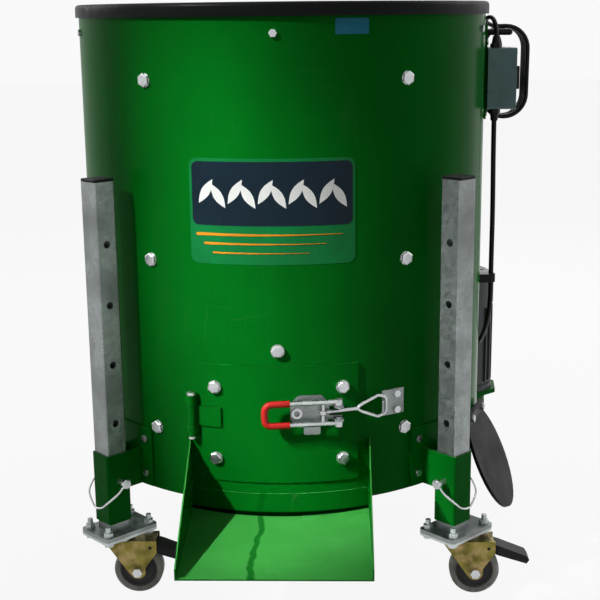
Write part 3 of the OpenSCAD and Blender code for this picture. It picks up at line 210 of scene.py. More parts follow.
def effect(name, output="Mask", **defaults):
    """Turns a function into a shared shader group, made once; it fills the tree and returns what goes out."""

    def wrap(fill):
        def group():
            tree = bpy.data.node_groups.get(name)
            if tree:
                return tree
            tree = bpy.data.node_groups.new(name, "ShaderNodeTree")
            tree.interface.new_socket(name="Vector", in_out="INPUT", socket_type="NodeSocketVector")
            for key, default in defaults.items():
                made = tree.interface.new_socket(name=key, in_out="INPUT", socket_type=FLOAT)
                made.default_value = default
            tree.interface.new_socket(name=output, in_out="OUTPUT", socket_type=FLOAT)
            out = fill(tree, put(tree, "NodeGroupInput").outputs)
            tree.links.new(out, put(tree, "NodeGroupOutput").inputs[output])
            return tree

        return group

    return wrap


@effect("Cloudy Blotches", Scale=8.0, Low=0.35, High=0.65)
def blotches(tree, entry):
    """Soft cloudy variation."""
    return spread(tree, noise(tree, entry, 5.0), entry["Low"], entry["High"])


@effect("Fine Grain", "Height", Scale=400.0)
def grain(tree, entry):
    """Fine height for orange peel, moulded skin and cast skin."""
    return noise(tree, entry, 2.0)


@effect("Thin Scratches", Scale=60.0, Width=0.02)
def scratches(tree, entry):
    """Thin random scratches, in two directions and in patches."""
    lines = []
    for turn, stretch in ((0.35, (1.0, 1.0, 0.03)), (-0.6, (0.04, 0.04, 1.0))):
        inputs = {"Vector": entry["Vector"], "Rotation": (turn, turn, turn), "Scale": stretch}
        drawn = put(tree, "ShaderNodeMapping", inputs).outputs[0]
        inputs = {"Vector": drawn, "Scale": entry["Scale"]}
        cells = put(tree, "ShaderNodeTexVoronoi", inputs, feature="DISTANCE_TO_EDGE").outputs["Distance"]
        lines.append(spread(tree, cells, 0.0, entry["Width"], 1.0, 0.0))
    where = spread(tree, noise(tree, entry, 3.0, 9.0), 0.5, 0.68)
    return times(tree, math_node(tree, "MAXIMUM", *lines), where)


@effect("Zinc Spangle", "Tone", Scale=90.0)
def spangle(tree, entry):
    """Crystal patches of galvanised zinc, in two sizes."""
    tones = []
    for scale in (entry["Scale"], times(tree, entry["Scale"], 2.7)):
        inputs = {"Vector": entry["Vector"], "Scale": scale}
        cells = put(tree, "ShaderNodeTexVoronoi", inputs).outputs["Color"]
        tones.append(put(tree, "ShaderNodeSeparateColor", {0: cells}).outputs[0])
    return times(tree, math_node(tree, "ADD", *tones), 0.5)


@effect("Wet Runs", Scale=15.0, Place=0.0, Width=0.006)
def runs(tree, entry):
    """One wandering wet streak down a slide, at a place across it."""
    sway = spread(tree, noise(tree, entry, 3.0), 0.2, 0.8, -0.009, 0.009)
    across = math_node(tree, "ADD", axes(tree, entry["Vector"])["X"], sway)
    offset = minus(tree, across, entry["Place"])
    inner = times(tree, entry["Width"], 0.5)
    return spread(tree, math_node(tree, "ABSOLUTE", offset), inner, entry["Width"], 1.0, 0.0)


@effect("Corner Grime", Radius=0.3, Height=0.0, Width=0.004)
def painted_corner_shadow(tree, entry):
    """Painted shadow: a dark band in the corner where the slide meets the drum, standing in for the shade of
    the gap under the drum's edge.
    """
    part = axes(tree, entry["Vector"])
    squares = [times(tree, part[axis], part[axis]) for axis in ("X", "Y")]
    out = math_node(tree, "SQRT", math_node(tree, "ADD", *squares))
    gap = math_node(tree, "ABSOLUTE", minus(tree, out, entry["Radius"]))
    rise = minus(tree, part["Z"], entry["Height"])
    outer = times(tree, entry["Width"], 1.4)
    near, low = (spread(tree, value, entry["Width"], outer, 1.0, 0.0) for value in (gap, rise))
    return times(tree, near, low)


@effect("Settled Dust", Scale=14.0, Amount=0.25, Low=0.35)
def dust_and_light_on_top(tree, entry):
    """Mask of what faces up: for pale dust, and on the chute floor for painted sunlight."""
    facing = put(tree, "ShaderNodeNewGeometry").outputs["Normal"]
    lying = spread(tree, axes(tree, facing)["Z"], 0.3, 0.95)
    cloud = spread(tree, noise(tree, entry, 6.0), entry["Low"], 0.7)
    return times(tree, times(tree, lying, entry["Amount"]), cloud)


class Finish:
    """A material being made: its Principled shader and its Object coordinates."""

    def __init__(self, name, shine=0.5):
        self.material = bpy.data.materials.new(name)
        self.material.use_nodes = True
        self.tree = self.material.node_tree
        self.shader = self.tree.nodes["Principled BSDF"]
        self.shader.inputs["Specular IOR Level"].default_value = shine
        self.where = put(self.tree, "ShaderNodeTexCoord").outputs["Object"]

    def link(self, socket, key):
        self.tree.links.new(socket, self.shader.inputs[key])

    def vary(self, mask, key, low, high):
        """Lets a mask move one of the shader's values between two ends."""
        self.link(spread(self.tree, mask, 0.0, 1.0, low, high), key)

    def bump(self, height, depth, strength):
        made = put(self.tree, "ShaderNodeBump", {"Height": height, "Distance": depth, "Strength": strength})
        self.link(made.outputs["Normal"], "Normal")

    def skin(self, scale, depth, strength):
        """Fine grain as height."""
        self.bump(self.mask(grain(), Scale=scale), depth, strength)

    def mask(self, group, **inputs):
        """Places a shared effect and returns its one output."""
        return put(self.tree, "ShaderNodeGroup", {"Vector": self.where, **inputs}, node_tree=group).outputs[0]

    def tint(self, mask, first, second):
        """Mix of two colours, each a colour or a socket."""
        ends = [end if isinstance(end, bpy.types.NodeSocket) else (*end, 1.0) for end in (first, second)]
        return put(self.tree, "ShaderNodeMix", {0: mask, 6: ends[0], 7: ends[1]}, data_type="RGBA").outputs[2]


def shade(rgb, factor):
    """A lighter or darker tone of a colour."""
    return tuple(min(1.0, part * factor) for part in rgb)


def toward(rgb, other, share):
    return tuple(a + (b - a) * share for a, b in zip(rgb, other))


# Finishes

DUST = (0.42, 0.41, 0.36)
# Pale green of the chute floor: partly rubbed dust, partly painted sunlight on what faces up.
DUST_AND_SUNLIGHT = (0.055, 0.36, 0.062)
RUBBED = (0.55, 0.75, 0.55)
RUST = (0.10, 0.075, 0.05)
BRASSY = (0.44, 0.30, 0.16)
ROAD_DIRT = (0.16, 0.14, 0.11)
FLANGE_R = DRUM_R + 0.004
SLIDE_TOP = 0.1545
STREAK_X = -0.030
MADE = {}


def finish(name):
    """The named material, made once."""
    if name not in MADE:
        maker, values = FINISHES[name]
        MADE[name] = maker(name, **values).material
    return MADE[name]


def enamel(name, wear=0.03, slid=False):
    """Glossy enamel with orange peel, dust and hairline scratches; on the chute, pale green on what faces up
    (partly dust, partly painted sunlight), a wet streak, and a painted shadow in the corner at the drum.
    """
    base = tuple(colours().enamel)
    made = Finish(name, 0.025)
    cloud = made.mask(blotches(), Scale=5.0)
    tone = made.tint(cloud, shade(base, 0.86), shade(base, 1.10))
    if slid:
        # Painted sunlight mixed with dust: the up-facing chute floor turns pale green.
        tone = made.tint(made.mask(dust_and_light_on_top(), Amount=1.0, Low=-1.2), tone, DUST_AND_SUNLIGHT)
    else:
        tone = made.tint(made.mask(dust_and_light_on_top(), Amount=0.10), tone, DUST)
    hair = times(made.tree, made.mask(scratches(), Scale=46.0, Width=0.012), wear)
    tone = made.tint(hair, tone, toward(base, RUBBED, 0.45))
    if slid:
        streak = times(made.tree, made.mask(runs(), Place=STREAK_X), 0.85)
        tone = made.tint(streak, tone, shade(base, 0.75))
        # Painted shadow, nearly black, along the corner where the chute floor meets the drum.
        dirt = made.mask(painted_corner_shadow(), Radius=FLANGE_R, Height=SLIDE_TOP, Width=0.0028)
        tone = made.tint(dirt, tone, shade(base, 0.06))
    made.link(tone, "Base Color")
    made.vary(cloud, "Roughness", 0.20, 0.32)
    made.skin(230.0, 0.00012, 0.5)
    return made


def galvanised(name, lift=1.0):
    """Dull hot-dip zinc with crystal patches and grey stains."""
    base = shade(tuple(colours().zinc), lift)
    made = Finish(name)
    cells = made.mask(spangle(), Scale=110.0)
    stain = made.mask(blotches(), Scale=16.0, Low=0.45, High=0.75)
    tone = made.tint(cells, shade(base, 0.72), shade(base, 1.14))
    made.link(made.tint(stain, tone, shade(base, 0.62)), "Base Color")
    made.vary(cells, "Roughness", 0.34, 0.56)
    made.vary(stain, "Metallic", 0.88, 0.62)
    made.bump(cells, 0.00010, 0.4)
    return made


def worn_steel(name):
    """Bare steel polished by nuts, with dark stains."""
    base = tuple(colours().steel)
    made = Finish(name)
    stain = made.mask(blotches(), Scale=10.0, Low=0.42, High=0.70)
    rub = made.mask(scratches(), Scale=34.0, Width=0.03)
    tone = made.tint(stain, base, toward(base, RUST, 0.7))
    made.link(made.tint(rub, tone, shade(base, 1.5)), "Base Color")
    made.vary(stain, "Roughness", 0.30, 0.55)
    made.vary(stain, "Metallic", 0.95, 0.70)
    made.bump(rub, 0.00006, 0.4)
    return made


def chromate(name):
    """Yellow passivated zinc with an uneven olive and pink cast."""
    base = tuple(colours().chromate)
    made = Finish(name)
    cast = made.mask(blotches(), Scale=38.0, Low=0.38, High=0.62)
    pink = made.mask(blotches(), Scale=61.0, Low=0.45, High=0.70)
    tone = made.tint(cast, base, shade(base, 0.45))
    made.link(made.tint(pink, tone, toward(base, BRASSY, 0.6)), "Base Color")
    made.vary(cast, "Roughness", 0.24, 0.40)
    made.vary(pink, "Metallic", 0.94, 0.85)
    made.skin(600.0, 0.00006, 0.4)
    return made


def clouded(name, key, scale, tones, rough, skin, metal=None, dust=0.0, shine=0.5, dirt=None, **ends):
    """Two tones in soft clouds, or one tone and dirt, with a fine skin and dust on what faces up."""
    base = tuple(getattr(colours(), key))
    made = Finish(name, shine)
    cloud = made.mask(blotches(), Scale=scale, **ends)
    last = toward(base, dirt, 0.75) if dirt else shade(base, tones[1])
    tone = made.tint(cloud, shade(base, tones[0]), last)
    if dust:
        tone = made.tint(made.mask(dust_and_light_on_top(), Amount=dust), tone, DUST)
    made.link(tone, "Base Color")
    made.vary(cloud, "Roughness", *rough)
    if metal:
        made.vary(cloud, "Metallic", *metal)
    made.skin(*skin)
    return made


def moulded(name, key, gloss, dust=0.10, skin=700.0, shine=0.14):
    """Moulded plastic or rubber with a fine skin and a little dust."""
    rough = (gloss - 0.05, gloss + 0.07)
    return clouded(name, key, 28.0, (0.85, 1.15), rough, (skin, 0.00008, 0.5), dust=dust, shine=shine)


def printed(name, key):
    """Printed film under a clear skin, with slight fading."""
    return clouded(name, key, 24.0, (0.90, 1.06), (0.22, 0.34), (300.0, 0.00005, 0.3), shine=0.12)


FINISHES = {
    "green_enamel": (enamel, {}),
    "worn_enamel": (enamel, dict(wear=0.15, slid=True)),
    "galvanised_zinc": (galvanised, {}),
    "plate_zinc": (galvanised, dict(lift=2.0)),
    "worn_steel": (worn_steel, {}),
    "yellow_chromate": (chromate, {}),
    "bright_zinc": (clouded, dict(
        key="bright", scale=70.0, tones=(0.80, 1.0), rough=(0.20, 0.34), metal=(0.96, 0.88),
        skin=(900.0, 0.00004, 0.3),
    )),
    "cast_iron": (clouded, dict(
        key="iron", scale=30.0, tones=(0.75, 1.25), rough=(0.48, 0.68), metal=(0.75, 0.55),
        skin=(520.0, 0.00030, 0.6),
    )),
    "motor_paint": (clouded, dict(
        key="motor", scale=22.0, tones=(0.8, 1.2), rough=(0.42, 0.56), dust=0.35, shine=0.4,
        skin=(420.0, 0.00014, 0.5),
    )),
    "soft_tyre": (clouded, dict(
        key="tyre", scale=55.0, tones=(1.0, 1.0), rough=(0.55, 0.75), dirt=ROAD_DIRT, shine=0.3,
        skin=(380.0, 0.00020, 0.5), Low=0.40, High=0.72,
    )),
    "black_rubber": (moulded, dict(key="rubber", gloss=0.42, dust=0.02, skin=500.0, shine=0.08)),
    "cord_skin": (moulded, dict(key="rubber", gloss=0.36, dust=0.05, skin=900.0)),
    "box_plastic": (moulded, dict(key="box", gloss=0.30, dust=0.14, shine=0.35)),
    "black_plastic": (moulded, dict(key="plastic", gloss=0.45, skin=450.0)),
    "dipped_grip": (moulded, dict(key="grip", gloss=0.28, dust=0.03, shine=0.35)),
    "wheel_core": (moulded, dict(key="core", gloss=0.40, dust=0.20, skin=350.0, shine=0.25)),
    "sticker_film": (printed, dict(key="sticker")),
}
for film_key in ("label_ground", "label_dark", "label_light", "label_warm"):
    FINISHES[film_key] = (printed, dict(key=film_key))


# Pieces


def dress(name, edge, *nodes):
    """Gives CAD nodes their finish, and softens their edges where edge is set."""
    for node in nodes:
        piece = NODES[node]
        piece.data.materials.clear()
        piece.data.materials.append(finish(name))
        piece.data.shade_smooth()
        joined = piece.modifiers.new("Join corners", "WELD")
        joined.merge_threshold = 1e-6
        if edge:
            flat = piece.modifiers.new("Merge flats", "DECIMATE")
            flat.decimate_type = "DISSOLVE"
            flat.angle_limit = math.radians(0.2)
            soft = piece.modifiers.new("Soft edges", "BEVEL")
            soft.width = edge
            soft.segments = 2
            soft.limit_method = "ANGLE"
            soft.angle_limit = math.radians(38.0)
        even = piece.modifiers.new("Even shading", "WEIGHTED_NORMAL")
        even.keep_sharp = True


def link_in(piece):
    bpy.context.scene.collection.objects.link(piece)
    return piece


def settle(piece, body, slot, *nodes):
    """Makes a piece ride on its body and stand for CAD nodes, which it hides; the slot is not used."""
    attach(piece, body)
    if nodes:
        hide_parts(*nodes)
    return piece


def smoothed(piece, degrees):
    """Smooth shading up to an angle."""
    piece.data.shade_smooth()
    piece.data.set_sharp_from_angle(angle=math.radians(degrees))
    return piece


def from_build(name, build, material, smooth=35.0):
    """A piece from finished bmesh work."""
    mesh = bpy.data.meshes.new(name)
    build.to_mesh(mesh)
    build.free()
    mesh.materials.append(finish(material))
    return smoothed(link_in(bpy.data.objects.new(name, mesh)), smooth)


def baked(piece):
    """Turns a piece with modifiers, or a curve, into a plain mesh piece of the same name."""
    bpy.context.view_layer.update()
    ready = piece.evaluated_get(bpy.context.evaluated_depsgraph_get())
    mesh = bpy.data.meshes.new_from_object(ready)
    name = piece.name
    data = piece.data
    bpy.data.objects.remove(piece)
    (bpy.data.curves if isinstance(data, bpy.types.Curve) else bpy.data.meshes).remove(data)
    mesh.name = name
    return link_in(bpy.data.objects.new(name, mesh))


def wire_curve(name, points, diameter, material, closed=False, sides=6):
    """A round wire along points, as a curve."""
    data = bpy.data.curves.new(name, "CURVE")
    data.dimensions = "3D"
    data.bevel_depth = diameter / 2
    data.bevel_resolution = sides
    data.use_fill_caps = not closed
    data.materials.append(finish(material))
    line = data.splines.new("POLY")
    line.points.add(len(points) - 1)
    line.use_cyclic_u = closed
    line.use_smooth = True
    for target, place in zip(line.points, points):
        target.co = (*place, 1.0)
    return link_in(bpy.data.objects.new(name, data))


def rounded(points, radius, steps=6, closed=False):
    """A polyline with its corners turned into arcs."""
    made = []
    count = len(points)
    for i, corner in enumerate(points):
        if not closed and i in (0, count - 1):
            made.append(corner)
            continue
        before = points[i - 1] - corner
        after = points[(i + 1) % count] - corner
        reach = min(radius / math.tan(before.angle(after) / 2), 0.49 * before.length, 0.49 * after.length)
        first = corner + before.normalized() * reach
        last = corner + after.normalized() * reach
        for k in range(steps + 1):
            u = k / steps
            made.append(first * (1 - u) ** 2 + corner * 2 * u * (1 - u) + last * u ** 2)
    return made


def smooth_route(points, steps=6):
    """One smooth curve through given points."""
    made = []
    last = len(points) - 1
    for i in range(last):
        a, b, c, d = (Vector(points[min(max(i + k, 0), last)]) for k in (-1, 0, 1, 2))
        for k in range(steps):
            u = k / steps
            bend = (2 * a - 5 * b + 4 * c - d) * u ** 2 + (3 * b - a - 3 * c + d) * u ** 3
            made.append(0.5 * (2 * b + (c - a) * u + bend))
    made.append(Vector(points[last]))
    return made


def turned(name, profile, material, place, sides=64):
    """A closed profile of (radius, height) in millimetres, turned about Z and then placed."""
    build = bmesh.new()
    rings = []
    for k in range(sides):
        turn = 2 * math.pi * k / sides
        x, y = math.cos(turn) * MM, math.sin(turn) * MM
        rings.append([build.verts.new((r * x, r * y, h * MM)) for r, h in profile])
    for k, here in enumerate(rings):
        there = rings[(k + 1) % sides]
        for i in range(len(profile)):
            j = (i + 1) % len(profile)
            build.faces.new((here[i], there[i], there[j], here[j]))
    bmesh.ops.remove_doubles(build, verts=build.verts, dist=1e-7)
    bmesh.ops.recalc_face_normals(build, faces=build.faces)
    build.transform(place)
    return from_build(name, build, material)


def mirrored(half):
    """A profile and its mirror image, as one closed profile."""
    return [(r, -h) for r, h in half] + [(r, h) for r, h in reversed(half)]


def facing(place, direction):
    """A place whose Z axis looks along a direction."""
    return Matrix.Translation(place) @ direction.to_track_quat("Z", "Y").to_matrix().to_4x4()


def solids(node):
    """The corner points of each separate solid of a CAD node."""
    build = bmesh.new()
    build.from_mesh(NODES[node].data)
    build.transform(NODES[node].matrix_world)
    bmesh.ops.remove_doubles(build, verts=build.verts, dist=1e-6)
    left = set(build.verts)
    found = []
    while left:
        queue = [left.pop()]
        island = []
        while queue:
            here = queue.pop()
            island.append(here.co.copy())
            near = {edge.other_vert(here) for edge in here.link_edges} & left
            left -= near
            queue.extend(near)
        found.append(island)
    build.free()
    return found


def outward(azimuth):
    """Direction out of the drum, turned from its front toward the right."""
    return Vector((math.sin(azimuth), -math.cos(azimuth), 0.0))


# Geometry nodes

SHANK_PAST_NUT = 0.2


def node_tool(name, *keys):
    """Turns a function into a geometry group, made once, that ends in Realize Instances and Set Material."""

    def wrap(fill):
        def tool():
            tree = bpy.data.node_groups.get(name)
            if tree:
                return tree
            tree = bpy.data.node_groups.new(name, "GeometryNodeTree")
            sockets = {"Geometry": GEOMETRY, **dict.fromkeys(keys, FLOAT), "Material": "NodeSocketMaterial"}
            for key, kind in sockets.items():
                tree.interface.new_socket(name=key, in_out="INPUT", socket_type=kind)
            tree.interface.new_socket(name="Geometry", in_out="OUTPUT", socket_type=GEOMETRY)
            entry = put(tree, "NodeGroupInput").outputs
            real = put(tree, "GeometryNodeRealizeInstances", {0: fill(tree, entry)}).outputs[0]
            painted = put(tree, "GeometryNodeSetMaterial", {"Geometry": real, "Material": entry["Material"]})
            tree.links.new(painted.outputs[0], put(tree, "NodeGroupOutput").inputs["Geometry"])
            return tree

        return tool

    return wrap


def grown(name, points, edges, tool, material, smooth=35.0, **inputs):
    """Runs a geometry group on points and edges, and returns the plain mesh piece that it makes."""
    mesh = bpy.data.meshes.new(name)
    mesh.from_pydata(points, edges, [])
    piece = link_in(bpy.data.objects.new(name, mesh))
    run = piece.modifiers.new(tool.name, "NODES")
    run.node_group = tool
    values = {**inputs, "Material": finish(material)}
    for item in tool.interface.items_tree:
        key = item.name.replace(" ", "_")
        if item.in_out == "INPUT" and key in values:
            run[item.identifier] = values[key]
    return smoothed(baked(piece), smooth)


def on_points(tree, points, instance, direction, **inputs):
    """Copies of a mesh on points, each looking along a direction."""
    turn = put(tree, "FunctionNodeAlignRotationToVector", {"Vector": direction}, axis="Z").outputs[0]
    inputs = {"Points": points, "Instance": instance, "Rotation": turn, **inputs}
    return put(tree, "GeometryNodeInstanceOnPoints", inputs).outputs[0]


@node_tool("Hex Bolts", "Flats", "Head", "Washer", "Washer Thickness", "Shank", "Grip", "Nut")
def bolt_tool(tree, entry):
    """A washer, chamfered hex head, shank and nut on every point, facing out of the drum."""

    def raised(mesh, height):
        shift = put(tree, "ShaderNodeCombineXYZ", {"Z": height}).outputs[0]
        return put(tree, "GeometryNodeTransform", {"Geometry": mesh, "Translation": shift}).outputs[0]

    def rod(sides, radius, low, high):
        inputs = {"Vertices": sides, "Radius": radius, "Depth": minus(tree, high, low)}
        made = put(tree, "GeometryNodeMeshCylinder", inputs).outputs["Mesh"]
        return raised(made, times(tree, math_node(tree, "ADD", low, high), 0.5))

    corner = times(tree, entry["Flats"], 1.0 / math.sqrt(3.0))
    plate = entry["Washer Thickness"]
    side = math_node(tree, "ADD", plate, times(tree, minus(tree, entry["Head"], plate), 0.70))
    crown = put(tree, "GeometryNodeMeshCone", {
        "Vertices": 6, "Radius Bottom": corner, "Radius Top": times(tree, corner, 0.80),
        "Depth": minus(tree, entry["Head"], side),
    }).outputs["Mesh"]
    nut_top = times(tree, entry["Grip"], -1.0)
    nut_low = minus(tree, nut_top, entry["Nut"])
    end = minus(tree, nut_low, times(tree, entry["Shank"], SHANK_PAST_NUT))
    made = put(tree, "GeometryNodeJoinGeometry")
    for part in (
        rod(40, times(tree, entry["Washer"], 0.5), 0.0, plate),
        rod(6, corner, plate, side),
        raised(crown, side),
        rod(6, corner, nut_low, nut_top),
        rod(24, times(tree, entry["Shank"], 0.5), end, 0.0),
    ):
        tree.links.new(part, made.inputs[0])
    place = put(tree, "GeometryNodeInputPosition").outputs[0]
    flat = put(tree, "ShaderNodeVectorMath", {0: place, 1: (1.0, 1.0, 0.0)}, operation="MULTIPLY").outputs[0]
    return on_points(tree, entry["Geometry"], made.outputs[0], flat)


@node_tool("Weld Beads", "Width", "Pitch")
def weld_tool(tree, entry):
    """Overlapping ripples along every edge line, as a weld bead."""
    line = put(tree, "GeometryNodeMeshToCurve", {"Mesh": entry["Geometry"]}).outputs[0]
    steps = put(tree, "GeometryNodeResampleCurve", {"Curve": line, "Length": entry["Pitch"]}, mode="LENGTH")
    inputs = {"Segments": 10, "Rings": 6, "Radius": times(tree, entry["Width"], 0.5)}
    drop = put(tree, "GeometryNodeMeshUVSphere", inputs).outputs["Mesh"]
    vary = put(tree, "FunctionNodeRandomValue", {2: 0.82, 3: 1.12}, data_type="FLOAT").outputs[1]
    size = put(tree, "ShaderNodeCombineXYZ", {0: vary, 1: vary, 2: 0.75}).outputs[0]
    ahead = put(tree, "GeometryNodeInputTangent").outputs[0]
    return on_points(tree, steps.outputs[0], drop, ahead, Scale=size)


# Stage, in metres

FLOOR_HALF = 14.0
FLOOR_GREY = (0.80, 0.80, 0.79, 1.0)
FLOOR_GLOW = 0.91
DRUM_AIM = Vector((-0.045, -0.31, 0.54))
CHUTE_AIM = Vector((0.0, -0.40, 0.15))
TO_LAMP = Vector((-1.54, -1.03, 1.54))
LAMP_WIDE = 0.06
LAMP_TALL = 0.45
DRUM_SPREAD = math.radians(9.5)
CHUTE_SPREAD = math.radians(10.0)
FILL_AIM = Vector((0.0, 0.0, 0.5))
FILL_LAMPS = {
    "left_lamp": (Vector((-2.1, 1.0, 1.6)), 1.0, 1.2),
    "right_lamp": (Vector((2.2, 1.0, 1.6)), 1.0, 1.2),
    "back_lamp": (Vector((0.6, 2.4, 1.9)), 2.0, 1.4),
}


class HULLER_OT_stage(bpy.types.Operator):
    """Camera, lamps, surround and a pale floor"""

    bl_idname = "huller.stage"
    bl_label = "Stage"

    def execute(self, context):
        scene = context.scene
        stage = scene.huller_stage
        scene.view_settings.view_transform = "Standard"
        camera = bpy.data.cameras.new("photo_camera")
        camera.lens = stage.lens
        camera.sensor_width = 36.0
        eye = link_in(bpy.data.objects.new("photo_camera", camera))
        eye.matrix_world = (
            Matrix.Translation(stage.eye)
            @ Matrix.Rotation(stage.heading, 4, "Z")
            @ Matrix.Rotation(QUARTER - stage.pitch, 4, "X")
            @ Matrix.Rotation(stage.roll, 4, "Z")
        )
        scene.camera = eye
        self.floor()
        self.surround(scene, stage.world, stage.white)
        key = self.lamp("key_lamp", DRUM_AIM + TO_LAMP, DRUM_AIM, stage.key, LAMP_WIDE)
        key.shape = "RECTANGLE"
        key.size_y = LAMP_TALL
        key.spread = DRUM_SPREAD
        top = self.lamp("chute_lamp", CHUTE_AIM + TO_LAMP, CHUTE_AIM, stage.top, LAMP_WIDE)
        top.spread = CHUTE_SPREAD
        for name, (place, share, size) in FILL_LAMPS.items():
            self.lamp(name, place, FILL_AIM, stage.fill * share, size)
        return {"FINISHED"}

    def lamp(self, name, place, aim, power, size):
        """A square lamp that looks at a point."""
        data = bpy.data.lights.new(name, "AREA")
        data.energy = power
        data.size = size
        lamp = link_in(bpy.data.objects.new(name, data))
        lamp.location = place
        lamp.rotation_euler = (aim - place).to_track_quat("-Z", "Y").to_euler()
        return data

    def floor(self):
        """A pale floor, near white where the camera or a shiny piece sees it, that keeps the shadow."""
        build = bmesh.new()
        bmesh.ops.create_grid(build, x_segments=8, y_segments=8, size=FLOOR_HALF)
        mesh = bpy.data.meshes.new("pale_floor")
        build.to_mesh(mesh)
        build.free()
        made = Finish("pale_floor", 0.1)
        tree = made.tree
        made.shader.inputs["Base Color"].default_value = FLOOR_GREY
        made.shader.inputs["Roughness"].default_value = 0.9
        glow = put(tree, "ShaderNodeEmission", {"Strength": 1.0})
        share = times(tree, self.seen(tree), FLOOR_GLOW)
        mix = put(tree, "ShaderNodeMixShader", {0: share, 1: made.shader.outputs[0], 2: glow.outputs[0]})
        tree.links.new(mix.outputs[0], tree.nodes["Material Output"].inputs["Surface"])
        mesh.materials.append(made.material)
        link_in(bpy.data.objects.new("pale_floor", mesh))

    def seen(self, tree):
        """1 where the camera, a reflection or a see-through piece looks."""
        path = put(tree, "ShaderNodeLightPath").outputs
        mirror = math_node(tree, "MAXIMUM", path["Is Glossy Ray"], path["Is Transmission Ray"])
        return math_node(tree, "MAXIMUM", path["Is Camera Ray"], mirror)

    def surround(self, scene, strength, white):
        """Even soft light, seen as white by the camera and by shiny pieces."""
        world = bpy.data.worlds.new("soft_surround")
        world.use_nodes = True
        tree = world.node_tree
        back = tree.nodes["Background"]
        back.inputs["Color"].default_value = (1.0, 1.0, 1.0, 1.0)
        tree.links.new(spread(tree, self.seen(tree), 0.0, 1.0, strength, white), back.inputs["Strength"])
        scene.world = world


# Cords, in millimetres

LEAD_ROUTE = (
    (334, -26, 828), (334, -26, 829.5), (334, -26, 831), (333.5, -22.5, 843), (331, -12.5, 852.5),
    (328, 0.5, 856.5), (324.5, 14.5, 855), (323.5, 28.5, 851.5), (328, 41, 847), (337, 50, 843.5),
    (346, 54, 842),
)
CABLE_ROUTE = (
    (334, -26, 697), (334, -26, 693), (334, -26, 689), (334.5, -25, 640), (336, -20, 580), (337, -15, 530),
    (337, -14, 480), (337, -14, 440), (337, -13, 405), (335.5, 2, 365), (332, 32, 330), (328, 72, 306),
    (325, 112, 297), (325, 138, 297), (325, 150, 297),
)
COIL_LOOPS = 5
COIL_R = 36
COIL_SIDE = 74
COIL_STEP = 7.8
COIL_TAPER = 0.1
COIL_X = 360.05
COIL_Y = 54
COIL_TOP = 842
COIL_STOP = 17
COIL_RINGS = 48 * COIL_LOOPS
CORD_END = 7
TAIL_UP = 7
TAIL_R = 29
TAIL_TURN = Vector((0.6, 0.8, 0.0))
TAIL_DOWN = 10
TAIL_STEPS = 24


def on_loop(run):
    """Place on one hung loop after a run from the middle of its top, as (across, up)."""
    bend = QUARTER * COIL_R
    half = COIL_SIDE / 2
    if run < bend:
        return COIL_R * math.sin(run / COIL_R), half + COIL_R * math.cos(run / COIL_R)
    run -= bend
    if run < COIL_SIDE:
        return COIL_R, half - run
    run -= COIL_SIDE
    if run < 2 * bend:
        return COIL_R * math.cos(run / COIL_R), -half - COIL_R * math.sin(run / COIL_R)
    run -= 2 * bend
    if run < COIL_SIDE:
        return -COIL_R, run - half
    run -= COIL_SIDE
    return -COIL_R * math.cos(run / COIL_R), half + COIL_R * math.sin(run / COIL_R)


def hung_coil():
    """The hung loops, as points."""
    lap = 2 * math.pi * COIL_R + 2 * COIL_SIDE
    total = (COIL_LOOPS - 0.25) * lap + COIL_SIDE / 2 - COIL_STOP
    heart = COIL_TOP - COIL_R - COIL_SIDE / 2
    made = []
    for i in range(COIL_RINGS + 1):
        run = total * i / COIL_RINGS
        across, up = on_loop(run % lap)
        across *= 1 - COIL_TAPER * i / COIL_RINGS
        made.append(Vector((COIL_X + across, COIL_Y + COIL_STEP * run / lap, heart + up)))
    return made


def power_route():
    """The power cord from its gland over the hung loops to the plug."""
    coil = hung_coil()
    start = coil[-1] + UP * (CORD_END + TAIL_UP)
    tail = [start]
    for k in range(1, TAIL_STEPS + 1):
        turn = math.pi * k / TAIL_STEPS
        tail.append(start + TAIL_R * ((1 - math.cos(turn)) * TAIL_TURN + UP * math.sin(turn)))
    tail.append(start + 2 * TAIL_R * TAIL_TURN - UP * TAIL_DOWN)
    return smooth_route(LEAD_ROUTE) + coil + tail


class HULLER_OT_cords(bpy.types.Operator):
    """Power cord with its hung loops, and the cable down to the motor"""

    bl_idname = "huller.cords"
    bl_label = "Cords"

    def execute(self, context):
        dress("black_plastic", 0.0012, "power_plug")
        dress("black_plastic", 0.0008, "cable_fittings")
        route = [point * MM for point in power_route()]
        cord = self.run("power_cord", route, sizes().cord_d, "power_lead", "cord_coil")
        route = [point * MM for point in smooth_route(CABLE_ROUTE)]
        cable = self.run("motor_cable_run", route, sizes().cable_d, "motor_cable")
        return {"FINISHED"}

    def run(self, name, route, diameter, *nodes):
        """A cord along a route, which stands for CAD nodes."""
        return settle(wire_curve(name, route, diameter, "cord_skin"), "drum", "black_rubber", *nodes)


# Dressed frame nodes


class HULLER_OT_sheet_metal(bpy.types.Operator):
    """Green enamel on the drum, door, chute, sleeves and brackets"""

    bl_idname = "huller.sheet_metal"
    bl_label = "Sheet metal"

    def execute(self, context):
        edge = sizes().soft_edge
        dress(
            "green_enamel", edge, "drum_shell", "base_plate", "leg_sleeves", "motor_bracket", "belt_guard",
            "hinge_lugs", "switch_bracket", "door_panel", "door_liner", "hinge_leaf",
        )
        dress("worn_enamel", edge, "chute")
        return {"FINISHED"}


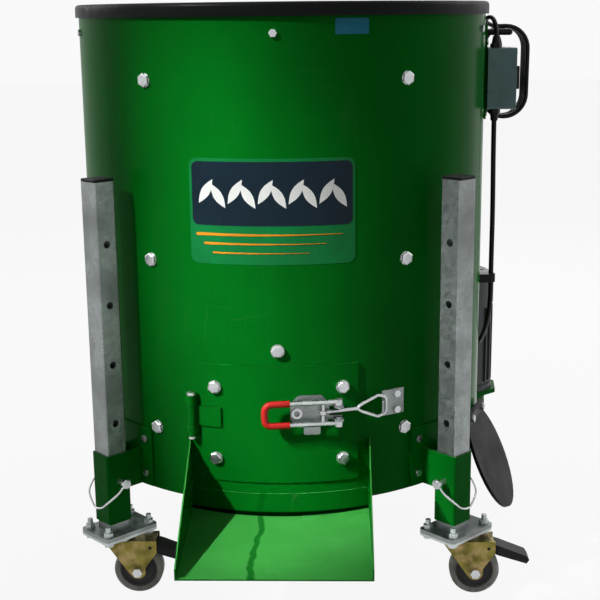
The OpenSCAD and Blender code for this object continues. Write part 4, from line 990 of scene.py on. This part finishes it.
class HULLER_OT_metalwork(bpy.types.Operator):
    """Zinc, steel and iron on the legs, plates, latch and drive"""

    bl_idname = "huller.metalwork"
    bl_label = "Metalwork"

    def execute(self, context):
        edge = sizes().soft_edge
        for leg in LEGS:
            dress("galvanised_zinc", edge, "leg_" + leg)
            dress("plate_zinc", edge, "caster_plate_" + leg)
            dress("black_plastic", 0.0015, "leg_cap_" + leg)
            dress("yellow_chromate", edge, "fork_" + leg)
        dress("bright_zinc", edge, "hinge_pin", "frame_fasteners", "latch_lever")
        dress("galvanised_zinc", edge, "latch_base", "latch_keeper")
        dress("worn_steel", edge, "liner_bars", "spindle", "hulling_disc")
        dress("cast_iron", edge, "bearing_housing", "driven_pulley", "motor_pulley")
        dress("motor_paint", edge, "motor_body", "motor_fan_cover", "terminal_box")
        return {"FINISHED"}


class HULLER_OT_rubber_and_plastic(bpy.types.Operator):
    """Rim trim, flap, belt, switch box, knob and pedals"""

    bl_idname = "huller.rubber_and_plastic"
    bl_label = "Rubber and plastic"

    def execute(self, context):
        dress("black_rubber", None, "rim_trim", "v_belt")
        dress("black_rubber", 0.001, "hull_flap")
        dress("box_plastic", 0.0025, "switch_box", "switch_cover")
        dress("black_plastic", 0.001, "switch_knob")
        dress("black_plastic", 0.0015, "brake_left", "brake_right")
        return {"FINISHED"}


# Fasteners and welds, in metres

BOLT_FLATS = 0.017
BOLT_HEAD = 0.0064
BOLT_SHANK = 0.010
BOLT_NUT = 0.008
SEAM_AZ = math.radians(128.0)
SEAM_FROM = 0.006
SEAM_TO = 0.016


class HULLER_OT_fasteners(bpy.types.Operator):
    """Large hex bolts with washers, and the weld bead on the drum's seam"""

    bl_idname = "huller.fasteners"
    bl_label = "Fasteners and welds"

    def execute(self, context):
        for node, body in (("liner_bolts", "drum"), ("door_bolts", "door")):
            for k, (grip, places) in enumerate(self.by_grip(node).items()):
                made = grown(
                    f"{node}_{k + 1}", places, [], bolt_tool(), "bright_zinc",
                    Flats=BOLT_FLATS, Head=BOLT_HEAD, Shank=BOLT_SHANK, Grip=grip, Nut=BOLT_NUT,
                    Washer=sizes().washer, Washer_Thickness=sizes().washer_t,
                )
                settle(made, body, "zinc", node)
        away = outward(SEAM_AZ) * DRUM_R
        ends = [(away.x, away.y, DRUM_LOW.z + SEAM_FROM), (away.x, away.y, DRUM_HIGH.z - SEAM_TO)]
        made = grown(
            "weld_beads", ends, [(0, 1)], weld_tool(), "green_enamel", smooth=60.0,
            Width=sizes().weld, Pitch=sizes().weld_pitch,
        )
        settle(made, "drum", "green_paint")
        return {"FINISHED"}

    def by_grip(self, node):
        """Seats of a node's bolts, grouped by the thickness that they hold together."""
        found = {}
        for points in solids(node):
            centre = Vector([(min(p[k] for p in points) + max(p[k] for p in points)) / 2 for k in range(3)])
            away = Vector((centre.x, centre.y, 0.0)).normalized()
            depths = [point.dot(away) for point in points]
            grip = max(depths) - min(depths) - BOLT_HEAD - BOLT_NUT - BOLT_SHANK * SHANK_PAST_NUT
            seat = away * (max(depths) - BOLT_HEAD)
            found.setdefault(round(grip, 4), []).append((seat.x, seat.y, centre.z))
        return found


# Latch, in millimetres along the door, out of it and up

LATCH_AZ = math.radians(8.0)
GRIP_FROM = -30.05
GRIP_TO = -66.0
GRIP_D = 10.0
GRIP_BEND = 12.0
LEVER_HALF = 16.0
PIVOT_OUT = 15.85
LOOP_X = 18.0
LOOP_OUT = 12.85
BAR_X = 113.0
BAR_OUT = -10.0
NECK_X = 62.0
LOOP_HALF = 16.0
LOOP_CUT = (12.0, 4.0)
LOOP_BEND = 7.0
LOOP_WIRE = 5.0
STEM_D = 6.0
STEM_IN = 7.5
EYE_BORE = 5.2
EYE_WALL = 3.0
BASE_OUT = 5.35
EYELET_X = -19.0
EYELET_UP = -2.0
EYELET_D = 17.0
EYELET_BORE = 7.0
EYELET_HALF = 1.6
TAB_OUT = 2.45
TAB_X = 3.0
TAB_UP = -28.0
TAB_W = 24.0
TAB_H = 14.0
TAB_R = 3.0


class HULLER_OT_latch(bpy.types.Operator):
    """Red grip, wire loop, eyelet and tongue of the toggle latch"""

    bl_idname = "huller.latch"
    bl_label = "Latch"

    def execute(self, context):
        ends = ((GRIP_FROM, -1), (GRIP_TO, -1), (GRIP_TO, 1), (GRIP_FROM, 1))
        grip = rounded([self.place(x, PIVOT_OUT, s * LEVER_HALF) for x, s in ends], GRIP_BEND * MM, steps=10)
        self.wire("latch_grip_dip", grip, GRIP_D, "dipped_grip", "lever", "red_dip", "latch_grip", sides=8)
        back, down = LOOP_CUT
        corners = [self.on_line(NECK_X, 0.0)]
        corners += [self.on_line(BAR_X - back, LOOP_HALF), self.on_line(BAR_X, LOOP_HALF - down)]
        corners += [self.on_line(BAR_X, down - LOOP_HALF), self.on_line(BAR_X - back, -LOOP_HALF)]
        loop = rounded(corners, LOOP_BEND * MM, closed=True)
        rest = ("bright_zinc", "loop", "zinc", "latch_loop")
        self.wire("latch_loop_wire", loop, LOOP_WIRE, *rest, closed=True)
        stem = [self.on_line(LOOP_X + EYE_BORE / 2 + EYE_WALL / 2, 0.0), self.on_line(NECK_X + STEM_IN, 0.0)]
        self.wire("latch_loop_stem", stem, STEM_D, *rest)
        eye = self.ring(EYE_BORE / 2, EYE_BORE / 2 + EYE_WALL, STEM_D / 2)
        spot = Matrix.Translation(self.on_line(LOOP_X, 0.0))
        settle(turned("latch_loop_eye", eye, "bright_zinc", spot, 40), "loop", "zinc", "latch_loop")
        eyelet = self.ring(EYELET_BORE / 2, EYELET_D / 2, EYELET_HALF)
        spot = facing(self.place(EYELET_X, BASE_OUT + EYELET_HALF, EYELET_UP), outward(LATCH_AZ))
        settle(turned("latch_eyelet", eyelet, "bright_zinc", spot, 40), "door", "zinc")
        self.tab()
        return {"FINISHED"}

    def place(self, along, out, up):
        """A point of the latch's turned frame, in metres."""
        side = Vector((math.cos(LATCH_AZ), math.sin(LATCH_AZ), 0.0))
        return side * along * MM + outward(LATCH_AZ) * (DRUM_R + out * MM) + UP * (LATCH_Z + up * MM)

    def on_line(self, along, up):
        """A point of the loop, which falls from its eye to the keeper."""
        share = (along - LOOP_X) / (BAR_X - LOOP_X)
        return self.place(along, LOOP_OUT + (BAR_OUT - LOOP_OUT) * share, up)

    def wire(self, name, points, diameter, material, body, slot, node, **shape):
        """A bent wire that stands for a CAD node."""
        made = smoothed(baked(wire_curve(name, points, diameter * MM, material, **shape)), 50.0)
        settle(made, body, slot, node)

    def ring(self, low, high, half, soft=0.8):
        """A soft-edged ring's profile."""
        return mirrored([(low, half - soft), (low + soft, half), (high - soft, half), (high, half - soft)])

    def tab(self):
        """The tongue that stands out below the latch's base."""
        build = bmesh.new()
        outline = panel(TAB_X, TAB_UP, TAB_W, TAB_H, TAB_R)
        rims = [[build.verts.new(self.place(u, out, v)) for u, v in outline] for out in (TAB_OUT, BASE_OUT)]
        for rim in rims:
            build.faces.new(rim)
        for i, low in enumerate(rims[0]):
            build.faces.new((low, rims[0][i - 1], rims[1][i - 1], rims[1][i]))
        bmesh.ops.recalc_face_normals(build, faces=build.faces)
        settle(from_build("latch_tab", build, "galvanised_zinc"), "door", "zinc")


# Legs and casters, in millimetres

PIN_Z = 186.0
PIN_WIRE = 3.0
PIN_SHAPE = (
    (0.0, 18.0), (3.8, 18.0), (4.8, 19.0), (4.8, 34.0), (6.5, 34.0), (7.3, 34.8), (7.3, 38.8), (6.1, 40.0),
    (0.0, 40.0),
)
PIN_ROUTE = (
    (37, 0, 0), (37, -6, -4), (34, -14, -14), (25, -27, -27), (14, -30, -36), (0, -31, -39), (-12, -29, -34),
    (-22, -27, -20), (-26, -16, -6), (-26, -4, 2), (-26, 6, 6),
)
TYRE_HALF = (
    (28.5, 10.4), (29.5, 11.2), (31.7, 11.4), (32.3, 12.2), (33.5, 12.5), (35.4, 12.0), (36.6, 10.9),
    (37.2, 9.2), (37.5, 6.0), (37.5, 2.0),
)
CORE_HALF = (
    (4.1, 15.5), (9.5, 15.5), (10.1, 14.9), (10.7, 8.4), (11.7, 7.5), (22.5, 7.5), (23.5, 8.0), (25.3, 10.0),
    (25.9, 10.4), (28.2, 10.4),
)
AXLE_HALF = 19.55
AXLE_NUT = ((0.0, 0.0), (7.75, 0.0), (7.75, 6.1), (7.2, 6.6), (0.0, 6.6))


class HULLER_OT_casters(bpy.types.Operator):
    """Wheels with tyre and core, axle nuts, and the lock pins with their wires"""

    bl_idname = "huller.casters"
    bl_label = "Casters and lock pins"

    def execute(self, context):
        for leg in LEGS:
            self.wheel(leg)
            self.pin(leg)
        return {"FINISHED"}

    def wheel(self, leg):
        """Tyre, core and the two nuts of the axle."""
        wheel = f"wheel_{leg}"
        axle = Vector(JOINTS[f"wheel_{leg}_spin"]["pos_m"])
        place = Matrix.Translation(axle) @ Matrix.Rotation(QUARTER, 4, "X")
        settle(turned(f"tyre_{leg}", mirrored(TYRE_HALF), "soft_tyre", place), wheel, "grey_tyre", wheel)
        settle(turned(f"core_{leg}", mirrored(CORE_HALF), "wheel_core", place), wheel, "black_plastic", wheel)
        for name, side in (("near", -1.0), ("far", 1.0)):
            spot = Matrix.Translation(axle + Vector((0.0, side * AXLE_HALF * MM, 0.0)))
            spot = spot @ Matrix.Rotation(-side * QUARTER, 4, "X")
            nut = turned(f"axle_nut_{leg}_{name}", AXLE_NUT, "bright_zinc", spot, 6)
            settle(nut, f"caster_{leg}", "zinc")

    def pin(self, leg):
        """A lock pin beside its leg, with the bent wire that holds it."""
        low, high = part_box(f"leg_cap_{leg}")
        centre = Vector(((low.x + high.x) / 2, (low.y + high.y) / 2, PIN_Z * MM))
        inward = -Vector((centre.x, centre.y, 0.0)).normalized()
        across = Vector((inward.y, -inward.x, 0.0))
        low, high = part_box(f"lock_pin_{leg}")
        if ((low + high) / 2 - centre).dot(across) < 0:
            across = -across
        route = [centre + (across * x + inward * y + UP * z) * MM for x, y, z in PIN_ROUTE]
        wire = wire_curve(f"pin_wire_{leg}", smooth_route(route), PIN_WIRE * MM, "bright_zinc", sides=5)
        made = baked(wire)
        made.data.shade_smooth()
        settle(made, f"pin_{leg}", "zinc", f"lock_pin_{leg}")
        made = turned(f"pin_body_{leg}", PIN_SHAPE, "bright_zinc", facing(centre, across), 32)
        settle(made, f"pin_{leg}", "zinc", f"lock_pin_{leg}")


# Switch

SCREW_IN = 0.008
SCREW_SUNK = 0.0001
SCREW_HEAD = ((0.0, 0.0), (3.2, 0.0), (3.2, 0.6), (2.72, 1.275), (1.76, 1.5), (1.44, 0.825), (0.0, 0.825))
POINTER = (0.0004, 0.0018, 0.011)
POINTER_IN = 0.009


class HULLER_OT_switch(bpy.types.Operator):
    """Cover screws and the knob's pointer"""

    bl_idname = "huller.switch"
    bl_label = "Switch"

    def execute(self, context):
        low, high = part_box("switch_cover")
        for side, y in (("front", low.y + SCREW_IN), ("back", high.y - SCREW_IN)):
            for end, z in (("low", low.z + SCREW_IN), ("high", high.z - SCREW_IN)):
                place = Matrix.Translation((high.x - SCREW_SUNK, y, z)) @ Matrix.Rotation(QUARTER, 4, "Y")
                made = turned(f"cover_screw_{side}_{end}", SCREW_HEAD, "bright_zinc", place, 24)
                settle(made, "drum", "zinc")
        low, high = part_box("switch_knob")
        mark = bmesh.new()
        bmesh.ops.create_cube(mark, size=1.0)
        centre = Vector((high.x, (low.y + high.y) / 2, high.z - POINTER_IN))
        mark.transform(Matrix.Translation(centre) @ Matrix.Diagonal((*POINTER, 1.0)))
        settle(from_build("knob_pointer", mark, "label_light"), "knob", "grey_plastic")
        return {"FINISHED"}


# Label, in metres along the drum and up

LABEL_LIFT = 0.0003
LABEL_FILM = 0.00015
LABEL_STEP = 0.004
LABEL_AZ = math.radians(-1.0)
LEAF = (0.040, 0.013)
LEAF_PAIRS = 5
LEAF_PITCH = 0.18
LEAF_PAIR = ((-0.008, 0.19, math.radians(58.0)), (0.010, 0.15, math.radians(122.0)))
STRIPES = 3
STRIPE_TIP = (0.4, 0.6)
STICKER = (0.048, 0.021)
STICKER_AZ = math.radians(19.5)
STICKER_DROP = 0.026


def leaf(u, v, turn, steps=14):
    """A pointed leaf outline."""
    long, wide = LEAF
    cos, sin = math.cos(turn), math.sin(turn)
    shares = [k / steps for k in range(steps)]
    made = []
    for side, run in ((1, shares), (-1, [1 - share for share in shares])):
        for share in run:
            x = (share - 0.5) * long
            y = side * wide / 2 * math.sin(math.pi * share)
            made.append((u + x * cos - y * sin, v + x * sin + y * cos))
    return made


def panel(u, v, wide, high, radius, steps=6):
    """A rounded rectangle outline."""
    made = []
    for k, (sx, sy) in enumerate(((1, 1), (-1, 1), (-1, -1), (1, -1))):
        for i in range(steps + 1):
            turn = QUARTER * (k + i / steps)
            x = sx * (wide / 2 - radius) + radius * math.cos(turn)
            y = sy * (high / 2 - radius) + radius * math.sin(turn)
            made.append((u + x, v + y))
    return made


def film(name, outlines, azimuth, height, layer, material):
    """Thin printed shapes on the drum, from flat outlines of (along, up) about a middle."""
    build = bmesh.new()
    for outline in outlines:
        build.faces.new([build.verts.new((u, 0.0, v)) for u, v in outline])
    reach = math.ceil(max(abs(u) for outline in outlines for u, v in outline) / LABEL_STEP)
    for k in range(-reach, reach + 1):
        every = build.verts[:] + build.edges[:] + build.faces[:]
        cut = (k * LABEL_STEP, 0.0, 0.0)
        bmesh.ops.bisect_plane(build, geom=every, plane_co=cut, plane_no=(1.0, 0.0, 0.0))
    bmesh.ops.recalc_face_normals(build, faces=build.faces)
    bmesh.ops.solidify(build, geom=build.faces[:], thickness=LABEL_FILM)
    radius = DRUM_R + LABEL_LIFT + layer * LABEL_FILM * 1.5
    for vert in build.verts:
        u, depth, v = vert.co
        vert.co = outward(azimuth + u / DRUM_R) * (radius - depth) + UP * (height + v)
    bmesh.ops.recalc_face_normals(build, faces=build.faces)
    settle(from_build(name, build, material), "drum", "green_paint")


class HULLER_OT_label(bpy.types.Operator):
    """A plain label of leaves and stripes, and a blank sticker"""

    bl_idname = "huller.label"
    bl_label = "Label"

    def execute(self, context):
        wide = sizes().label_w
        high = sizes().label_h
        leaves = []
        for k in range(LEAF_PAIRS):
            u = wide * LEAF_PITCH * (k - (LEAF_PAIRS - 1) / 2)
            for shift, rise, turn in LEAF_PAIR:
                leaves.append(leaf(u + shift, high * rise, turn))
        stripes = []
        for k in range(STRIPES):
            low = -high * (0.20 + 0.09 * k)
            left = -wide * 0.46 + 0.012 * k
            right = wide * (0.42 - 0.10 * k)
            thick = 0.0045 - 0.0009 * k
            tip = [(right, low - thick * share) for share in STRIPE_TIP]
            stripes.append([(left, low), *tip, (left, low - thick)])
        for name, outlines, layer, material in (
            ("label_ground", [panel(0.0, 0.0, wide, high, 0.012)], 0, "label_ground"),
            ("label_dark", [panel(0.0, high * 0.17, wide * 0.965, high * 0.60, 0.009)], 1, "label_dark"),
            ("label_leaves", leaves, 2, "label_light"),
            ("label_stripes", stripes, 2, "label_warm"),
        ):
            film(name, outlines, LABEL_AZ, sizes().label_z, layer, material)
        sticker = [panel(0.0, 0.0, *STICKER, 0.002)]
        film("rim_sticker", sticker, STICKER_AZ, DRUM_HIGH.z - STICKER_DROP, 0, "sticker_film")
        return {"FINISHED"}


class HULLER_PT_pieces(bpy.types.Panel):
    """Lists the huller's pieces in the sidebar"""

    bl_label = "Walnut huller"
    bl_idname = "HULLER_PT_pieces"
    bl_space_type = "VIEW_3D"
    bl_region_type = "UI"
    bl_category = "Huller"

    def draw(self, context):
        for operator in OPERATORS:
            self.layout.operator(operator.bl_idname)
        for name in GROUPS:
            group = getattr(context.scene, name)
            for key in group.bl_rna.properties.keys():
                if key not in ("rna_type", "name"):
                    self.layout.prop(group, key)


OPERATORS = (
    HULLER_OT_stage,
    HULLER_OT_cords,
    HULLER_OT_sheet_metal,
    HULLER_OT_metalwork,
    HULLER_OT_rubber_and_plastic,
    HULLER_OT_fasteners,
    HULLER_OT_latch,
    HULLER_OT_casters,
    HULLER_OT_switch,
    HULLER_OT_label,
)
GROUPS = {"huller_colours": HullerColours, "huller_sizes": HullerSizes, "huller_stage": HullerStage}
CLASSES = (*GROUPS.values(), *OPERATORS, HULLER_PT_pieces)


def register():
    for made in CLASSES:
        bpy.utils.register_class(made)
    for name, group in GROUPS.items():
        setattr(bpy.types.Scene, name, bpy.props.PointerProperty(type=group))


def unregister():
    for name in GROUPS:
        delattr(bpy.types.Scene, name)
    for made in reversed(CLASSES):
        bpy.utils.unregister_class(made)


def main():
    register()
    for operator in OPERATORS:
        section, name = operator.bl_idname.split(".")
        getattr(getattr(bpy.ops, section), name)()


if __name__ == "__main__":
    main()
